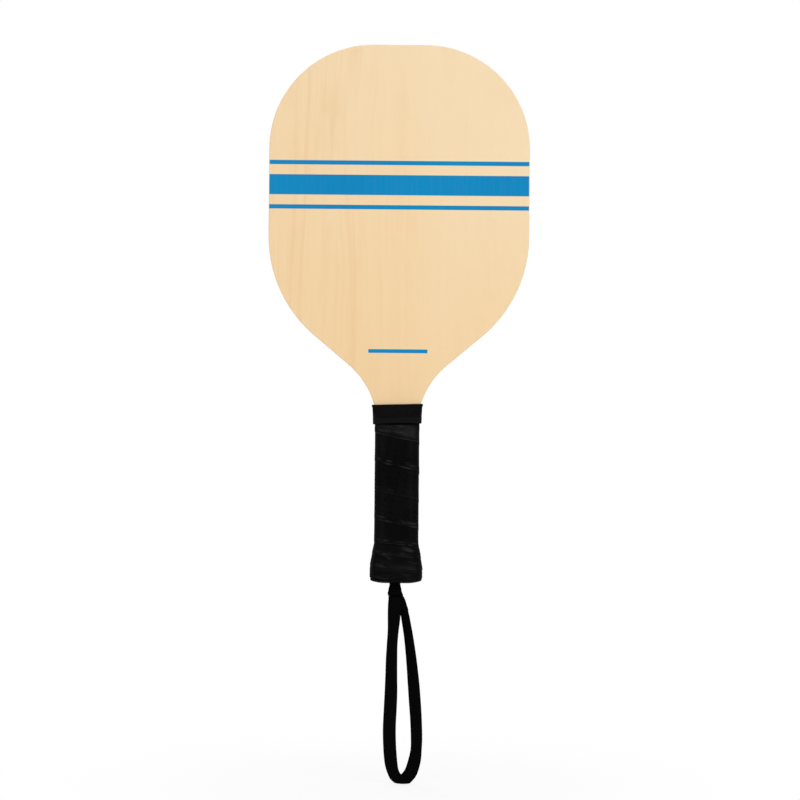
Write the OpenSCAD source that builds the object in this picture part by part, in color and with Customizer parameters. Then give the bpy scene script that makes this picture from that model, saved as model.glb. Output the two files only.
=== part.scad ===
// Wooden pickleball paddle: a plywood blade, a cushion tape wound on its handle, a rubber collar,
// a flared butt cap and a flat wrist strap.
// Heights are measured up from the butt end. Each piece is then lowered so that the origin lies on
// the handle's axis where the hand holds it. The front of the blade looks along -Y.

/* [Blade] */
// Length from the butt end to the top of the blade
paddle_l = 400.5; // [385:0.5:415]
// Width of the blade
blade_w = 194; // [184:1:200]
// Radius of the two upper corners
top_corner_r = 77.5; // [60:0.5:90]
// Radius of the two lower corners
lower_corner_r = 97; // [85:1:105]
// Slope of the shoulders, in degrees off the handle's axis
shoulder_slope = 50; // [44:1:54]
// Radius of the hollow curve from the shoulder into the handle
neck_r = 60; // [50:1:70]
// Height at which the handle starts to widen into the neck
neck_start = 116; // [112:0.5:120]

/* [Plywood] */
// Thickness of each face veneer
face_veneer_t = 1; // [0.6:0.1:1.4]
// Thickness of each of the five inner plies
inner_ply_t = 1.6; // [1.4:0.1:1.9]

/* [Handle] */
// Width of the plywood in the handle
tang_w = 30; // [27:0.5:32]
// Thickness of the wooden scale on each face of the handle
scale_t = 7; // [5.5:0.25:8.5]
// Radius of the handle's long edges
handle_round = 7; // [5:0.25:7]
// Thickness left at the thin upper tip of each scale
scale_tip_t = 0.6; // [0.4:0.1:1]
// Height at which the scales start to ramp down to the blade
ramp_start = 124.4; // [123.5:0.1:125.5]
// Length of that ramp
ramp_l = 7.3; // [6:0.1:7.8]

/* [Butt cap] */
// Height of the cap's skirt above the butt end
cap_h = 24.5; // [21:0.5:30]
// Thickness of the cap's floor
cap_floor_t = 4; // [3:0.25:6]
// Thickness of the skirt at its upper edge
cap_wall = 0.9; // [0.7:0.1:1.2]
// Thickness of the skirt at its widest
cap_flare = 3.1; // [2.2:0.1:3.8]
// Height at which the skirt starts to narrow
flare_h = 10; // [7:0.5:13]
// Height of the lip below the tape
lip_h = 3.4; // [2.4:0.1:4.4]
// Radius of the lip's edge
lip_round = 1.2; // [0.8:0.1:1.6]
// How far the lip stays inside the face of the tape above it
lip_step = 0.4; // [0.2:0.1:0.8]
// Radius of the cap's domed end
dome_r = 33; // [28:1:45]
// Shank diameter of the nails that hold the cap
nail_d = 1.6; // [1.2:0.1:2]
// Length of those nails
nail_l = 7; // [5:0.25:7.5]
// Head diameter of those nails
nail_head_d = 3.4; // [2.6:0.1:4]
// Height of the nails above the butt end
nail_h = 18; // [14:0.5:21]

/* [Grip tape] */
// Thickness of the cushion tape
tape_t = 1.35; // [1:0.05:1.8]
// Climb of one turn of the tape on the straight handle
tape_pitch = 21.3; // [18:0.1:25]
// Climb of one turn on the flare, where the tape starts
start_pitch = 8.7; // [7.5:0.1:14]
// Open seam between two turns
tape_seam = 0.6; // [0.5:0.05:1.2]
// Height, on the middle of the front face, of the seam from which the straight turns climb
seam_h = 43.9; // [40:0.1:48]
// Height of the tape's upper end
grip_top = 122.1; // [120.5:0.1:122.5]
// Thickness of the finishing tape round that end
finish_t = 0.2; // [0.1:0.05:0.3]
// How far the finishing tape reaches below the upper end of the grip tape
finish_lap = 3.4; // [2.5:0.1:3.7]

/* [Collar] */
// Height of the rubber collar
collar_h = 14.7; // [13.5:0.1:16]
// How far the collar covers the tape
collar_lap = 3.8; // [3.6:0.1:5]
// Wall of the collar at its lower edge
collar_wall = 0.7; // [0.6:0.1:1.4]
// Wall of the collar at its upper edge
collar_top_wall = 1.1; // [0.7:0.1:1.8]
// Height of the ribs at the collar's foot
rib_t = 0.2; // [0.1:0.05:0.4]
// Height of the bead at the collar's upper edge
bead_t = 0.45; // [0.2:0.05:0.6]
// Distance from one rib to the next
rib_pitch = 1.4; // [1.2:0.1:1.5]

/* [Wrist strap] */
// Width of the webbing
strap_w = 9.4; // [8.2:0.1:10]
// Width of the webbing where it is drawn together in the cap
mouth_w = 8; // [7:0.1:9]
// Thickness of the webbing
strap_t = 1.3; // [1:0.1:1.5]
// Space between the two legs where they lie on each other
leg_gap = 0.5; // [0.45:0.05:0.7]
// Inner radius of the soft fold at the bottom of the loop
fold_r = 0.9; // [0.6:0.1:1.4]
// Drop from the butt end to the line where the strap swings to and fro
swing_drop = 2.3; // [2.2:0.1:2.8]
// Drop from the butt end to the point where the loop sways from side to side
sway_drop = 11.5; // [11:0.25:13]
// Diameter of the steel pin that holds the strap
pin_d = 3; // [2:0.25:4]
// Height of that pin above the butt end
pin_h = 20; // [17:0.5:23]
// Depth of the mortise for the strap in the end of the plywood
mortise_l = 24; // [22:0.5:28]
// Height of the sewn bar across the strap
sewn_h = 1.5; // [1:0.1:2]
// How far the thread of the sewn bar stands proud
thread_t = 0.3; // [0.2:0.05:0.4]

/* [Fit] */
// Height of the hand's hold above the butt end
hold_h = 60; // [50:1:70]
// Room round a piece that is pushed in
fit_gap = 0.15; // [0.1:0.05:0.2]
// Room between the soft layers of the grip
layer_gap = 0.1; // [0.08:0.02:0.14]
// Room round the strap where it runs in a slot
strap_room = 0.8; // [0.6:0.1:1]
// Room between the pieces of the strap that turn on each other
turn_room = 0.35; // [0.3:0.05:0.5]

/* [Hidden] */

$fn = 120;
// Steps in each round corner of a swept section
corner_steps = 6;
// Reach of cutting shapes past the surface that they cut
past = 1;

// Blade outline
half_w = blade_w / 2;
tang_half = tang_w / 2;
function on_circle(centre, r, a) = centre + r * [cos(a), sin(a)];
top_corner = [half_w - top_corner_r, paddle_l - top_corner_r];
neck_hollow = [tang_half + neck_r, neck_start];
shoulder_foot = on_circle(neck_hollow, neck_r, 180 - shoulder_slope);
lower_corner_x = half_w - lower_corner_r;
shoulder_run = lower_corner_x + lower_corner_r * cos(shoulder_slope) - shoulder_foot.x;
shoulder_rise = shoulder_run / tan(shoulder_slope) + lower_corner_r * sin(shoulder_slope);
lower_corner = [lower_corner_x, shoulder_foot.y + shoulder_rise];

// Plies from front to back
ply_ts = [
    face_veneer_t, inner_ply_t, inner_ply_t, inner_ply_t, inner_ply_t, inner_ply_t, face_veneer_t
];
function sum_to(list, count) = count == 0 ? 0 : list[count - 1] + sum_to(list, count - 1);
board_t = sum_to(ply_ts, len(ply_ts));
board_half = board_t / 2;
function ply_front(order) = sum_to(ply_ts, order) - board_half;
// The three plies in the middle hold the mortise
function has_mortise(order) = order >= 2 && order <= 4;

// Handle section: a rounded rectangle round these corner centres
core_half_t = board_half + scale_t;
corner_x = tang_half - handle_round;
corner_y = core_half_t - handle_round;
ramp_end = ramp_start + ramp_l;
function neck_half(z) =
    z <= neck_start ? tang_half : neck_hollow.x - sqrt(neck_r * neck_r - pow(z - neck_start, 2));

// Butt cap profile, measured from the corner centres
seat_r = handle_round + cap_flare;
skirt_r = handle_round + cap_wall;
tape_outer = fit_gap + tape_t;
lip_r = seat_r + tape_outer - lip_step;
lip_centre_r = lip_r - lip_round;
dome_angle = asin(lip_centre_r / (dome_r - lip_round));
lip_centre = [lip_centre_r, dome_r - (dome_r - lip_round) * cos(dome_angle)];
dome_edge = on_circle([0, dome_r], dome_r, dome_angle - 90);
nail_head_t = 0.8;
nail_head_y = core_half_t + cap_flare * (cap_h - nail_h) / (cap_h - flare_h);

// Grip tape
tape_bottom = lip_h + fit_gap;
skirt_edge = 0.5;
skirt_ease = 1.2;
skirt_tent = 4;
// What the tape lies on, as a height and how far it stands out from the plain handle
tape_seat = [
    [lip_h, cap_flare],
    [flare_h + skirt_ease, cap_flare],
    [cap_h + skirt_edge, cap_wall + fit_gap / 2],
    [cap_h + skirt_edge + skirt_tent, 0],
    [neck_start, 0],
    [grip_top, neck_half(grip_top) - tang_half],
    [ramp_start, neck_half(ramp_start) - tang_half]
];
wind_r = handle_round + tape_outer / 2;
corner_l = PI / 2 * wind_r;
turn_l = 4 * (corner_l + corner_x + corner_y);
turn_rings = 4 * (corner_steps + 1);
front_middle = (corner_l + corner_x) / turn_l;
turns_below = ceil(seam_h / start_pitch) + 1;
turns_above = ceil((grip_top - seam_h) / tape_pitch) + 1;
tape_sliver = 1;
// The tape's section: shares of its width along the inner face and back along the outer one
tape_inner_shares = [0, 0.25, 0.5, 0.75, 1];
tape_outer_shares = [1, 0.94, 0.72, 0.5, 0.28, 0.06, 0];
tape_edge_share = 0.45;

// Finishing tape and collar, as distances outside the plain handle
finish_in = tape_outer + layer_gap;
finish_out = finish_in + finish_t;
finish_step = 0.7;
finish_end = ramp_start - fit_gap;
collar_bottom = grip_top - collar_lap;
collar_top = collar_bottom + collar_h;
collar_in = finish_out + layer_gap + neck_half(grip_top) - tang_half;
collar_ramp = grip_top + 1;
collar_top_x = neck_half(collar_top) + fit_gap;
collar_top_y = board_half + fit_gap;
collar_top_round = 0.5;
collar_ribs = 3;
collar_edge = 0.5;

// Wrist strap
neck_t = 2 * strap_t + leg_gap;
leg_y = (strap_t + leg_gap) / 2;
sway_r = strap_w / 2 + turn_room;
// How far above the sway point the two ears of the neck end, to let the legs pass
ear_lift = 0.7 * sway_r;
tail_top = pin_h + 6;
tail_end = -swing_drop + neck_t / 2 + turn_room;
slot_t = neck_t + strap_room;
slot_w = mouth_w + slot_t / 2;
fold_mid_r = fold_r + strap_t / 2;
// Hand-picked points of the two legs, from the sway point to the fold: sideways, outwards from the
// middle, height from the butt end, and turn of the webbing about its own length
front_leg = [
    [0, leg_y, -sway_drop, 0],
    [-0.75, 1, -16, 0],
    [-1, 1.1, -21, 6],
    [-1.25, 1.3, -27.5, 18],
    [-1.7, 1.6, -35.5, 33],
    [-2.35, 1.9, -46, 36],
    [-2.75, 2.2, -58, 29],
    [-2.85, 2.4, -70, 23],
    [-2.95, 2.5, -82, 12],
    [-3.35, 2.5, -93, 2],
    [-3.9, 2.4, -108, 0],
    [-3.55, 2.2, -121, 0],
    [-2.65, 1.9, -132, 6],
    [-1.3, 1.7, -139, 20],
    [0.7, 1.7, -143.5, 22],
    [4.7, fold_mid_r, -147.6, 0]
];
back_leg = [
    [8, fold_mid_r, -147.6, 0],
    [10.8, fold_mid_r, -143.8, 1],
    [12.8, 1.6, -139.8, 4],
    [14.95, 1.9, -132.3, 14],
    [16.1, 2.2, -125, 29],
    [16.4, 2.4, -116, 29],
    [15.95, 2.5, -103, 29],
    [15.1, 2.6, -91, 27],
    [14.1, 2.6, -77, 27],
    [13, 2.6, -65, 32],
    [11.5, 2.4, -52.5, 41],
    [9.9, 2.1, -40.5, 46],
    [8.15, 1.9, -30.5, 50],
    [6.75, 1.8, -25.3, 49],
    [4.85, 1.6, -21.4, 26],
    [3.75, 1.5, -19, 15],
    [2.4, 1.3, -16, 7],
    [0.9, 1.05, -13.2, 2],
    [0, leg_y, -sway_drop, 0]
];
leg_samples = 2;
fold_samples = 7;
end_samples = 4;
// The webbing's section: shares of its width and thickness, once round
strap_section = [
    [-1, 0], [-0.9, 1], [-0.45, 1], [0, 1], [0.45, 1], [0.9, 1],
    [1, 0], [0.9, -1], [0.45, -1], [0, -1], [-0.45, -1], [-0.9, -1]
];

wood = [0.96, 0.86, 0.69];
inner_wood = [0.88, 0.76, 0.58];
black_plastic = [0.09, 0.09, 0.09];
black_cushion = [0.06, 0.06, 0.06];
black_rubber = [0.05, 0.05, 0.055];
black_webbing = [0.07, 0.07, 0.07];
steel = [0.7, 0.71, 0.72];

// Puts a piece drawn from the butt end up into the part's own frame.
module from_butt() {
    translate([0, 0, -hold_h])
        children();
}

// The sector of a circle between two directions from its centre, at most 90 degrees apart.
module arc_sector(centre, r, from_angle, to_angle) {
    intersection() {
        translate(centre)
            circle(r = r);
        polygon([centre, on_circle(centre, 2 * r, from_angle), on_circle(centre, 2 * r, to_angle)]);
    }
}

// Half a disc on the side of its centre that a direction along an axis points to.
module half_disc(centre, r, facing) {
    translate(centre)
        rotate(facing)
            intersection() {
                circle(r = r);
                translate([0, -2 * r])
                    square([2 * r, 4 * r]);
            }
}

// A sheet of the given thickness behind y, with its outline drawn as width and height.
module sheet(y, t) {
    translate([0, y + t, 0])
        rotate([90, 0, 0])
            linear_extrude(t)
                children();
}

// A bar along X, centred, with its outline drawn as depth and height.
module bar(l) {
    rotate([90, 0, 90])
        linear_extrude(l, center = true)
            children();
}

// The plywood's outline: flat-topped blade, round shoulders, hollow neck and straight tang.
module blade_outline() {
    right = [
        [tang_half, cap_floor_t],
        on_circle(neck_hollow, neck_r, 180),
        shoulder_foot,
        on_circle(lower_corner, lower_corner_r, -shoulder_slope),
        on_circle(lower_corner, lower_corner_r, 0),
        on_circle(top_corner, top_corner_r, 0),
        on_circle(top_corner, top_corner_r, 90)
    ];
    left = [for (i = [len(right) - 1 : -1 : 0]) [-right[i].x, right[i].y]];
    difference() {
        union() {
            polygon(concat(right, left));
            for (side = [0, 1])
                mirror([side, 0]) {
                    arc_sector(top_corner, top_corner_r, 0, 90);
                    arc_sector(lower_corner, lower_corner_r, -shoulder_slope, 0);
                }
        }
        for (side = [0, 1])
            mirror([side, 0])
                arc_sector(neck_hollow, neck_r, 180 - shoulder_slope, 180);
    }
}

// One ply. The middle plies have the mortise for the strap, the others a hole for its pin.
module ply(order) {
    sheet(ply_front(order), ply_ts[order])
        difference() {
            blade_outline();
            if (has_mortise(order))
                translate([-strap_w / 2 - strap_room, cap_floor_t - past])
                    square([strap_w + 2 * strap_room, mortise_l + past]);
            else
                translate([0, pin_h])
                    circle(d = pin_d + fit_gap / 2);
        }
}

module front_face_veneer() {
    color(wood) from_butt() ply(0);
}

module front_cross_ply() {
    color(inner_wood) from_butt() ply(1);
}

module front_inner_ply() {
    color(wood) from_butt() ply(2);
}

module core_ply() {
    color(inner_wood) from_butt() ply(3);
}

module back_inner_ply() {
    color(wood) from_butt() ply(4);
}

module back_cross_ply() {
    color(inner_wood) from_butt() ply(5);
}

module back_face_veneer() {
    color(wood) from_butt() ply(6);
}

// The handle's rounded section, grown all round by a distance.
module handle_section(grow) {
    r = handle_round + grow;
    union() {
        polygon([
            for (q = [0 : 3], end = [0, 1])
                on_circle([corner_side_x(q) * corner_x, corner_side_y(q) * corner_y], r, 90 * (q + end))
        ]);
        for (q = [0 : 3])
            arc_sector([corner_side_x(q) * corner_x, corner_side_y(q) * corner_y], r, 90 * q, 90 * (q + 1));
    }
}

// Which side of the axis a corner lies on, counting the quarters from +X towards +Y.
function corner_side_x(q) = q == 0 || q == 3 ? 1 : -1;
function corner_side_y(q) = q < 2 ? 1 : -1;

// The scale on the back: half of the rounded handle, ramped down to the blade at its top.
module handle_scale() {
    ramp_rise = ramp_l / (scale_t - scale_tip_t);
    difference() {
        translate([0, 0, cap_floor_t])
            linear_extrude(ramp_end - cap_floor_t)
                intersection() {
                    handle_section(0);
                    translate([-tang_w, board_half])
                        square([2 * tang_w, 2 * scale_t]);
                }
        bar(tang_w + 2 * past)
            polygon([
                [core_half_t + past, ramp_start - past * ramp_rise],
                [board_half + scale_tip_t - past, ramp_end + past * ramp_rise],
                [core_half_t + past, ramp_end + past * ramp_rise]
            ]);
        nail_hole(nail_d + fit_gap / 2);
    }
}

// The hole of one nail in the back of the handle.
module nail_hole(d) {
    translate([0, nail_head_y - nail_l, nail_h])
        rotate([-90, 0, 0])
            cylinder(d = d, h = nail_l + past);
}

module front_handle_scale() {
    color(inner_wood) from_butt() mirror([0, 1, 0]) handle_scale();
}

module back_handle_scale() {
    color(inner_wood) from_butt() handle_scale();
}

// Half of the cap's outer profile, drawn from a corner centre: domed end, lip, seat and tapered skirt.
module cap_profile() {
    union() {
        polygon([
            [0, 0],
            dome_edge,
            lip_centre,
            lip_centre + [lip_round, 0],
            [lip_r, lip_h],
            [seat_r, lip_h],
            [seat_r, flare_h],
            [skirt_r, cap_h],
            [0, cap_h]
        ]);
        intersection() {
            translate([0, dome_r])
                circle(r = dome_r);
            translate([0, -past])
                square([dome_edge.x, dome_edge.y + past]);
        }
        arc_sector(lip_centre, lip_round, dome_angle - 90, 0);
    }
}

// A body whose sections are rounded rectangles: the profile turned at the corners, drawn along the sides.
module rounded_body(h) {
    for (q = [0 : 3])
        translate([corner_side_x(q) * corner_x, corner_side_y(q) * corner_y, 0])
            rotate(90 * q)
                rotate_extrude(angle = 90)
                    children();
    for (side = [0, 1])
        mirror([side, 0, 0])
            translate([corner_x, corner_y, 0])
                rotate([90, 0, 0])
                    linear_extrude(2 * corner_y)
                        children();
    for (side = [0, 1])
        mirror([0, side, 0])
            translate([-corner_x, corner_y, 0])
                rotate([90, 0, 90])
                    linear_extrude(2 * corner_x)
                        children();
    translate([-corner_x, -corner_y, 0])
        cube([2 * corner_x, 2 * corner_y, h]);
}

// The slot that the strap leaves by, with round ends.
module strap_slot() {
    end_x = (slot_w - slot_t) / 2;
    translate([0, 0, -past])
        linear_extrude(cap_floor_t + 2 * past)
            union() {
                square([2 * end_x, slot_t], center = true);
                half_disc([end_x, 0], slot_t / 2, 0);
                half_disc([-end_x, 0], slot_t / 2, 180);
            }
}

module butt_cap() {
    color(black_plastic)
        from_butt()
            difference() {
                rounded_body(cap_h)
                    cap_profile();
                translate([0, 0, cap_floor_t])
                    linear_extrude(cap_h)
                        handle_section(fit_gap);
                strap_slot();
                for (side = [0, 1])
                    mirror([0, side, 0]) {
                        nail_hole(nail_d + fit_gap);
                        translate([0, nail_head_y - nail_head_t, nail_h])
                            rotate([-90, 0, 0])
                                cylinder(d = nail_head_d + fit_gap, h = nail_head_t + 2 * past);
                    }
            }
}

// Two nails, one from each face, with their heads sunk in the skirt.
module cap_nails() {
    color(steel)
        from_butt()
            for (side = [0, 1])
                mirror([0, side, 0])
                    translate([0, nail_head_y - nail_l, nail_h])
                        rotate([-90, 0, 0]) {
                            cylinder(d = nail_d, h = nail_l - nail_head_t);
                            translate([0, 0, nail_l - nail_head_t])
                                cylinder(d = nail_head_d, h = nail_head_t);
                        }
}

// Triangles between two rings of points, the first of which starts at index a and the next at b.
function band_faces(a, b, count) = [
    for (j = [0 : count - 1])
        let (k = (j + 1) % count)
        each [[a + j, b + k, b + j], [a + j, a + k, b + k]]
];

// Triangles that close a ring, going to and fro between its two sides, with all indices raised by base.
function end_faces(base, count) = [
    for (j = [0 : count / 2 - 2])
        let (k = count - 1 - j)
        each [[base + j, base + k, base + k - 1], [base + j, base + k - 1, base + j + 1]]
];
function turned(faces) = [for (face = faces) [face[0], face[2], face[1]]];

// A tube through rings of points, closed at both ends.
module closed_tube(rings) {
    count = len(rings[0]);
    last = len(rings) - 1;
    polyhedron(
        points = [for (ring = rings) each ring],
        faces = concat(
            [for (i = [0 : last - 1]) each band_faces(i * count, (i + 1) * count, count)],
            end_faces(0, count),
            turned(end_faces(last * count, count))
        )
    );
}

// A sleeve through rings of points that go up its outside and down its inside.
module sleeve(rings) {
    count = len(rings[0]);
    total = len(rings);
    polyhedron(
        points = [for (ring = rings) each ring],
        faces = [
            for (i = [0 : total - 1])
                each turned(band_faces(i * count, ((i + 1) % total) * count, count))
        ]
    );
}

// A flat ring of points round the handle: half sizes, corner radius and height.
function section_ring(half_x, half_y, r, z) = [
    for (q = [0 : 3], step = [0 : corner_steps])
        let (a = 90 * (q + step / corner_steps))
        [
            corner_side_x(q) * (half_x - r) + r * cos(a),
            corner_side_y(q) * (half_y - r) + r * sin(a),
            z
        ]
];

// The same ring at a distance outside the handle and what the tape lies on.
function layer_ring(grow, z) =
    let (out = grow + lookup(z, tape_seat))
    section_ring(tang_half + out, core_half_t + out, handle_round + out, z);

// Turns from the middle of the front to a ring, counted along the winding.
function turns_to(i) =
    let (
        turn = floor(i / turn_rings),
        station = i - turn * turn_rings,
        q = floor(station / (corner_steps + 1)),
        step = station - q * (corner_steps + 1),
        sides = [0, 2 * corner_x, 2 * corner_x + 2 * corner_y, 4 * corner_x + 2 * corner_y][q],
        along = (q + step / corner_steps) * corner_l + sides
    )
    turn + along / turn_l - front_middle;

// Height of the seam after some turns. It climbs towards the left in front, more slowly on the flare.
function seam_z(turns) =
    let (eased = max(-1, min(0, turns)), below = min(0, turns + 1))
    seam_h
    + tape_pitch * (max(0, turns) + eased)
    + (tape_pitch - start_pitch) / 2 * eased * eased
    + start_pitch * below;
function tape_low(i) = max(seam_z(turns_to(i)), tape_bottom);
function tape_high(i) = min(seam_z(turns_to(i) + 1) - tape_seam, grip_top);

// One point of the tape at a ring: height and distance outside what it lies on.
function tape_point(i, z, out) =
    let (
        station = i - floor(i / turn_rings) * turn_rings,
        q = floor(station / (corner_steps + 1)),
        step = station - q * (corner_steps + 1),
        a = -90 * (q + step / corner_steps),
        r = (handle_round + lookup(z, tape_seat) + fit_gap + out) / cos(45 / corner_steps)
    )
    [
        (q == 0 || q == 3 ? 1 : -1) * corner_x + r * cos(a),
        (q < 2 ? -1 : 1) * corner_y + r * sin(a),
        z
    ];
function tape_ring(i) =
    let (low = tape_low(i), width = tape_high(i) - low)
    concat(
        [for (share = tape_inner_shares) tape_point(i, low + share * width, 0)],
        [
            for (share = tape_outer_shares)
                tape_point(i, low + share * width, share == 0 || share == 1 ? tape_edge_share * tape_t : tape_t)
        ]
    );
tape_rings = [
    for (i = [-turns_below * turn_rings : turns_above * turn_rings])
        if (tape_high(i) - tape_low(i) >= tape_sliver) tape_ring(i)
];

// Least gap between a turn of the tape and the next one, measured on the points of their edges.
upper_edge = [4, 5];
lower_edge = [0, 11];
tape_least_gap = min([
    for (i = [0 : len(tape_rings) - turn_rings - 2], a = upper_edge, b = lower_edge, near = [-1, 0, 1])
        norm(tape_rings[i][a] - tape_rings[i + turn_rings + near][b])
]);
echo("least gap between turns of the grip tape", tape_least_gap);

module grip_tape() {
    color(black_cushion)
        from_butt()
            closed_tube(tape_rings);
}

// A thin band that holds the end of the grip tape, stepping down on to the wood above it.
module finishing_tape() {
    low = grip_top - finish_lap;
    step_z = grip_top + layer_gap;
    rest_z = step_z + finish_step;
    color(black_plastic)
        from_butt()
            sleeve([
                layer_ring(finish_out, low),
                layer_ring(finish_out, step_z),
                layer_ring(fit_gap + finish_t, rest_z),
                layer_ring(fit_gap + finish_t, finish_end),
                layer_ring(fit_gap, finish_end),
                layer_ring(fit_gap, rest_z),
                layer_ring(finish_in, step_z),
                layer_ring(finish_in, low)
            ]);
}

// A collar ring: the same wall round the tape, then narrowing to the flat blade.
function collar_ring(wall, top_wall, z) =
    let (
        up = (z - collar_bottom) / collar_h,
        over = max(0, (z - collar_ramp) / (collar_top - collar_ramp)),
        low = collar_in + wall,
        round_low = handle_round + low,
        round_top = collar_top_round + top_wall
    )
    section_ring(
        tang_half + low + up * (collar_top_x + top_wall - tang_half - low),
        core_half_t + low + over * (collar_top_y + top_wall - core_half_t - low),
        round_low + over * (round_top - round_low),
        z
    );

module grip_collar() {
    rib_zone = collar_bottom + collar_edge;
    ribs = [
        for (i = [0 : 2 * collar_ribs])
            [rib_zone + i * rib_pitch / 2, i % 2 == 1 ? rib_t : 0]
    ];
    outer = concat(
        [[collar_bottom, -rib_t]],
        ribs,
        [
            [collar_top - 4 * collar_edge, 0],
            [collar_top - 3 * collar_edge, bead_t],
            [collar_top - collar_edge, bead_t],
            [collar_top, 0]
        ]
    );
    inner_z = [collar_top, collar_ramp, collar_bottom];
    color(black_rubber)
        from_butt()
            sleeve(concat(
                [for (stop = outer) collar_ring(collar_wall + stop[1], collar_top_wall + stop[1], stop[0])],
                [for (z = inner_z) collar_ring(0, 0, z)]
            ));
}

// The pin through the plywood that both ends of the strap are pushed on to.
module strap_pin() {
    color(steel)
        from_butt()
            translate([0, board_half, pin_h])
                rotate([90, 0, 0])
                    cylinder(d = pin_d, h = board_t);
}

// The two ends of the strap inside the handle, one on each side of the middle.
module strap_tails() {
    narrow_z = cap_floor_t + past;
    wide_z = narrow_z + (strap_w - mouth_w) * 2;
    color(black_webbing)
        from_butt()
            for (side = [0, 1])
                mirror([0, side, 0])
                    sheet(leg_gap / 2, strap_t)
                        difference() {
                            polygon([
                                [-mouth_w / 2, tail_end],
                                [mouth_w / 2, tail_end],
                                [mouth_w / 2, narrow_z],
                                [strap_w / 2, wide_z],
                                [strap_w / 2, tail_top],
                                [-strap_w / 2, tail_top],
                                [-strap_w / 2, wide_z],
                                [-mouth_w / 2, narrow_z]
                            ]);
                            translate([0, pin_h])
                                circle(d = pin_d + 2 * fit_gap);
                        }
}

// The doubled webbing below the cap: it rolls in the mouth of the slot and carries the loop.
module strap_neck() {
    sway_z = -sway_drop;
    neck_end = sway_z + ear_lift;
    color(black_webbing)
        from_butt()
            intersection() {
                bar(2 * strap_w)
                    union() {
                        translate([-neck_t / 2, neck_end])
                            square([neck_t, -swing_drop - neck_end]);
                        half_disc([0, -swing_drop], neck_t / 2, 90);
                    }
                sheet(-neck_t, 2 * neck_t)
                    difference() {
                        polygon([
                            [-strap_w / 2, neck_end],
                            [strap_w / 2, neck_end],
                            [strap_w / 2, sway_z + sway_r],
                            [mouth_w / 2, -swing_drop],
                            [mouth_w / 2, 0],
                            [-mouth_w / 2, 0],
                            [-mouth_w / 2, -swing_drop],
                            [-strap_w / 2, sway_z + sway_r]
                        ]);
                        translate([0, sway_z])
                            circle(r = sway_r);
                    }
            }
}

// A smooth curve through points: the value at a share of the way from point i to the next.
function curve_at(list, i, share) =
    let (
        last = len(list) - 1,
        b = list[i],
        c = list[i + 1],
        a = i == 0 ? 2 * b - c : list[i - 1],
        d = i + 1 == last ? 2 * c - b : list[i + 2]
    )
    b + share * ((c - a) / 2 + share * (a - 2.5 * b + 2 * c - d / 2 + share * (1.5 * (b - c) + (d - a) / 2)));
function curve_through(list) = concat(
    [for (i = [0 : len(list) - 2], s = [0 : leg_samples - 1]) curve_at(list, i, s / leg_samples)],
    [list[len(list) - 1]]
);

// How far along X the webbing reaches from its middle, where it runs at a slant.
function slant_half(list, i) =
    let (
        run = list[min(i + 1, len(list) - 1)] - list[max(i - 1, 0)],
        slope = abs(run[0] / run[2])
    )
    strap_w / 2 * sqrt(1 + slope * slope);

// One ring of the webbing: middle, direction of its width, direction of its outer face, half its width.
function strap_ring(middle, across, outward, half) = [
    for (share = strap_section)
        middle + share[0] * half * across + share[1] * strap_t / 2 * outward
];

// Rings down one leg. The side is -1 for the front leg and 1 for the back leg.
function leg_rings(list, side) =
    let (curve = curve_through(list))
    [
        for (i = [0 : len(curve) - 1])
            let (p = curve[i], turn = p[3])
            strap_ring(
                [p[0], side * p[1], p[2]],
                [cos(turn), -sin(turn), 0],
                [side * sin(turn), side * cos(turn), 0],
                slant_half(curve, i)
            )
    ];

// Rings round the fold, from the front leg's lowest point to the back leg's.
fold_from = front_leg[len(front_leg) - 1];
fold_to = back_leg[0];
fold_slant = PI * fold_mid_r / (fold_to[0] - fold_from[0]);
fold_half = strap_w / 2 * sqrt(1 + 1 / (fold_slant * fold_slant));
fold_rings = [
    for (s = [1 : fold_samples - 1])
        let (share = s / fold_samples, a = 180 * share)
        strap_ring(
            [
                fold_from[0] + share * (fold_to[0] - fold_from[0]),
                -fold_mid_r * cos(a),
                fold_from[2] - fold_mid_r * sin(a)
            ],
            [1, 0, 0],
            [0, -cos(a), -sin(a)],
            fold_half
        )
];

// Rings of the round end above the sway point, from the tip down.
function end_rings(side) = [
    for (s = [0 : end_samples - 1])
        let (a = 84 * (1 - s / end_samples))
        strap_ring(
            [0, side * leg_y, -sway_drop + strap_w / 2 * sin(a)],
            [1, 0, 0],
            [0, side, 0],
            strap_w / 2 * cos(a)
        )
];
function reversed(list) = [for (i = [len(list) - 1 : -1 : 0]) list[i]];

// The loop: down the front leg, round the fold at the bottom and up the back leg.
module strap_loop() {
    color(black_webbing)
        from_butt()
            closed_tube(concat(
                end_rings(-1),
                leg_rings(front_leg, -1),
                fold_rings,
                leg_rings(back_leg, 1),
                reversed(end_rings(1))
            ));
}

// The sewn bar that holds the two legs together, as thread on the front and on the back.
module strap_stitching() {
    sewn_w = strap_w - 2 * strap_t;
    color(black_webbing)
        from_butt()
            for (side = [0, 1])
                mirror([0, side, 0])
                    sheet(neck_t / 2, thread_t)
                        translate([-sewn_w / 2, -sway_drop + sewn_h / 2])
                            square([sewn_w, sewn_h]);
}

front_face_veneer();
front_cross_ply();
front_inner_ply();
core_ply();
back_inner_ply();
back_cross_ply();
back_face_veneer();
front_handle_scale();
back_handle_scale();
butt_cap();
cap_nails();
grip_tape();
finishing_tape();
grip_collar();
strap_pin();
strap_tails();
strap_neck();
strap_loop();
strap_stitching();
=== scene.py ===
"""Wooden pickleball paddle: a plywood blade, a cushion tape wound on its handle, a rubber collar,
a flared butt cap and a flat wrist strap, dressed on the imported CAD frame."""

import math

import bmesh
import bpy
from mathutils import Matrix, Vector, noise


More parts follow.
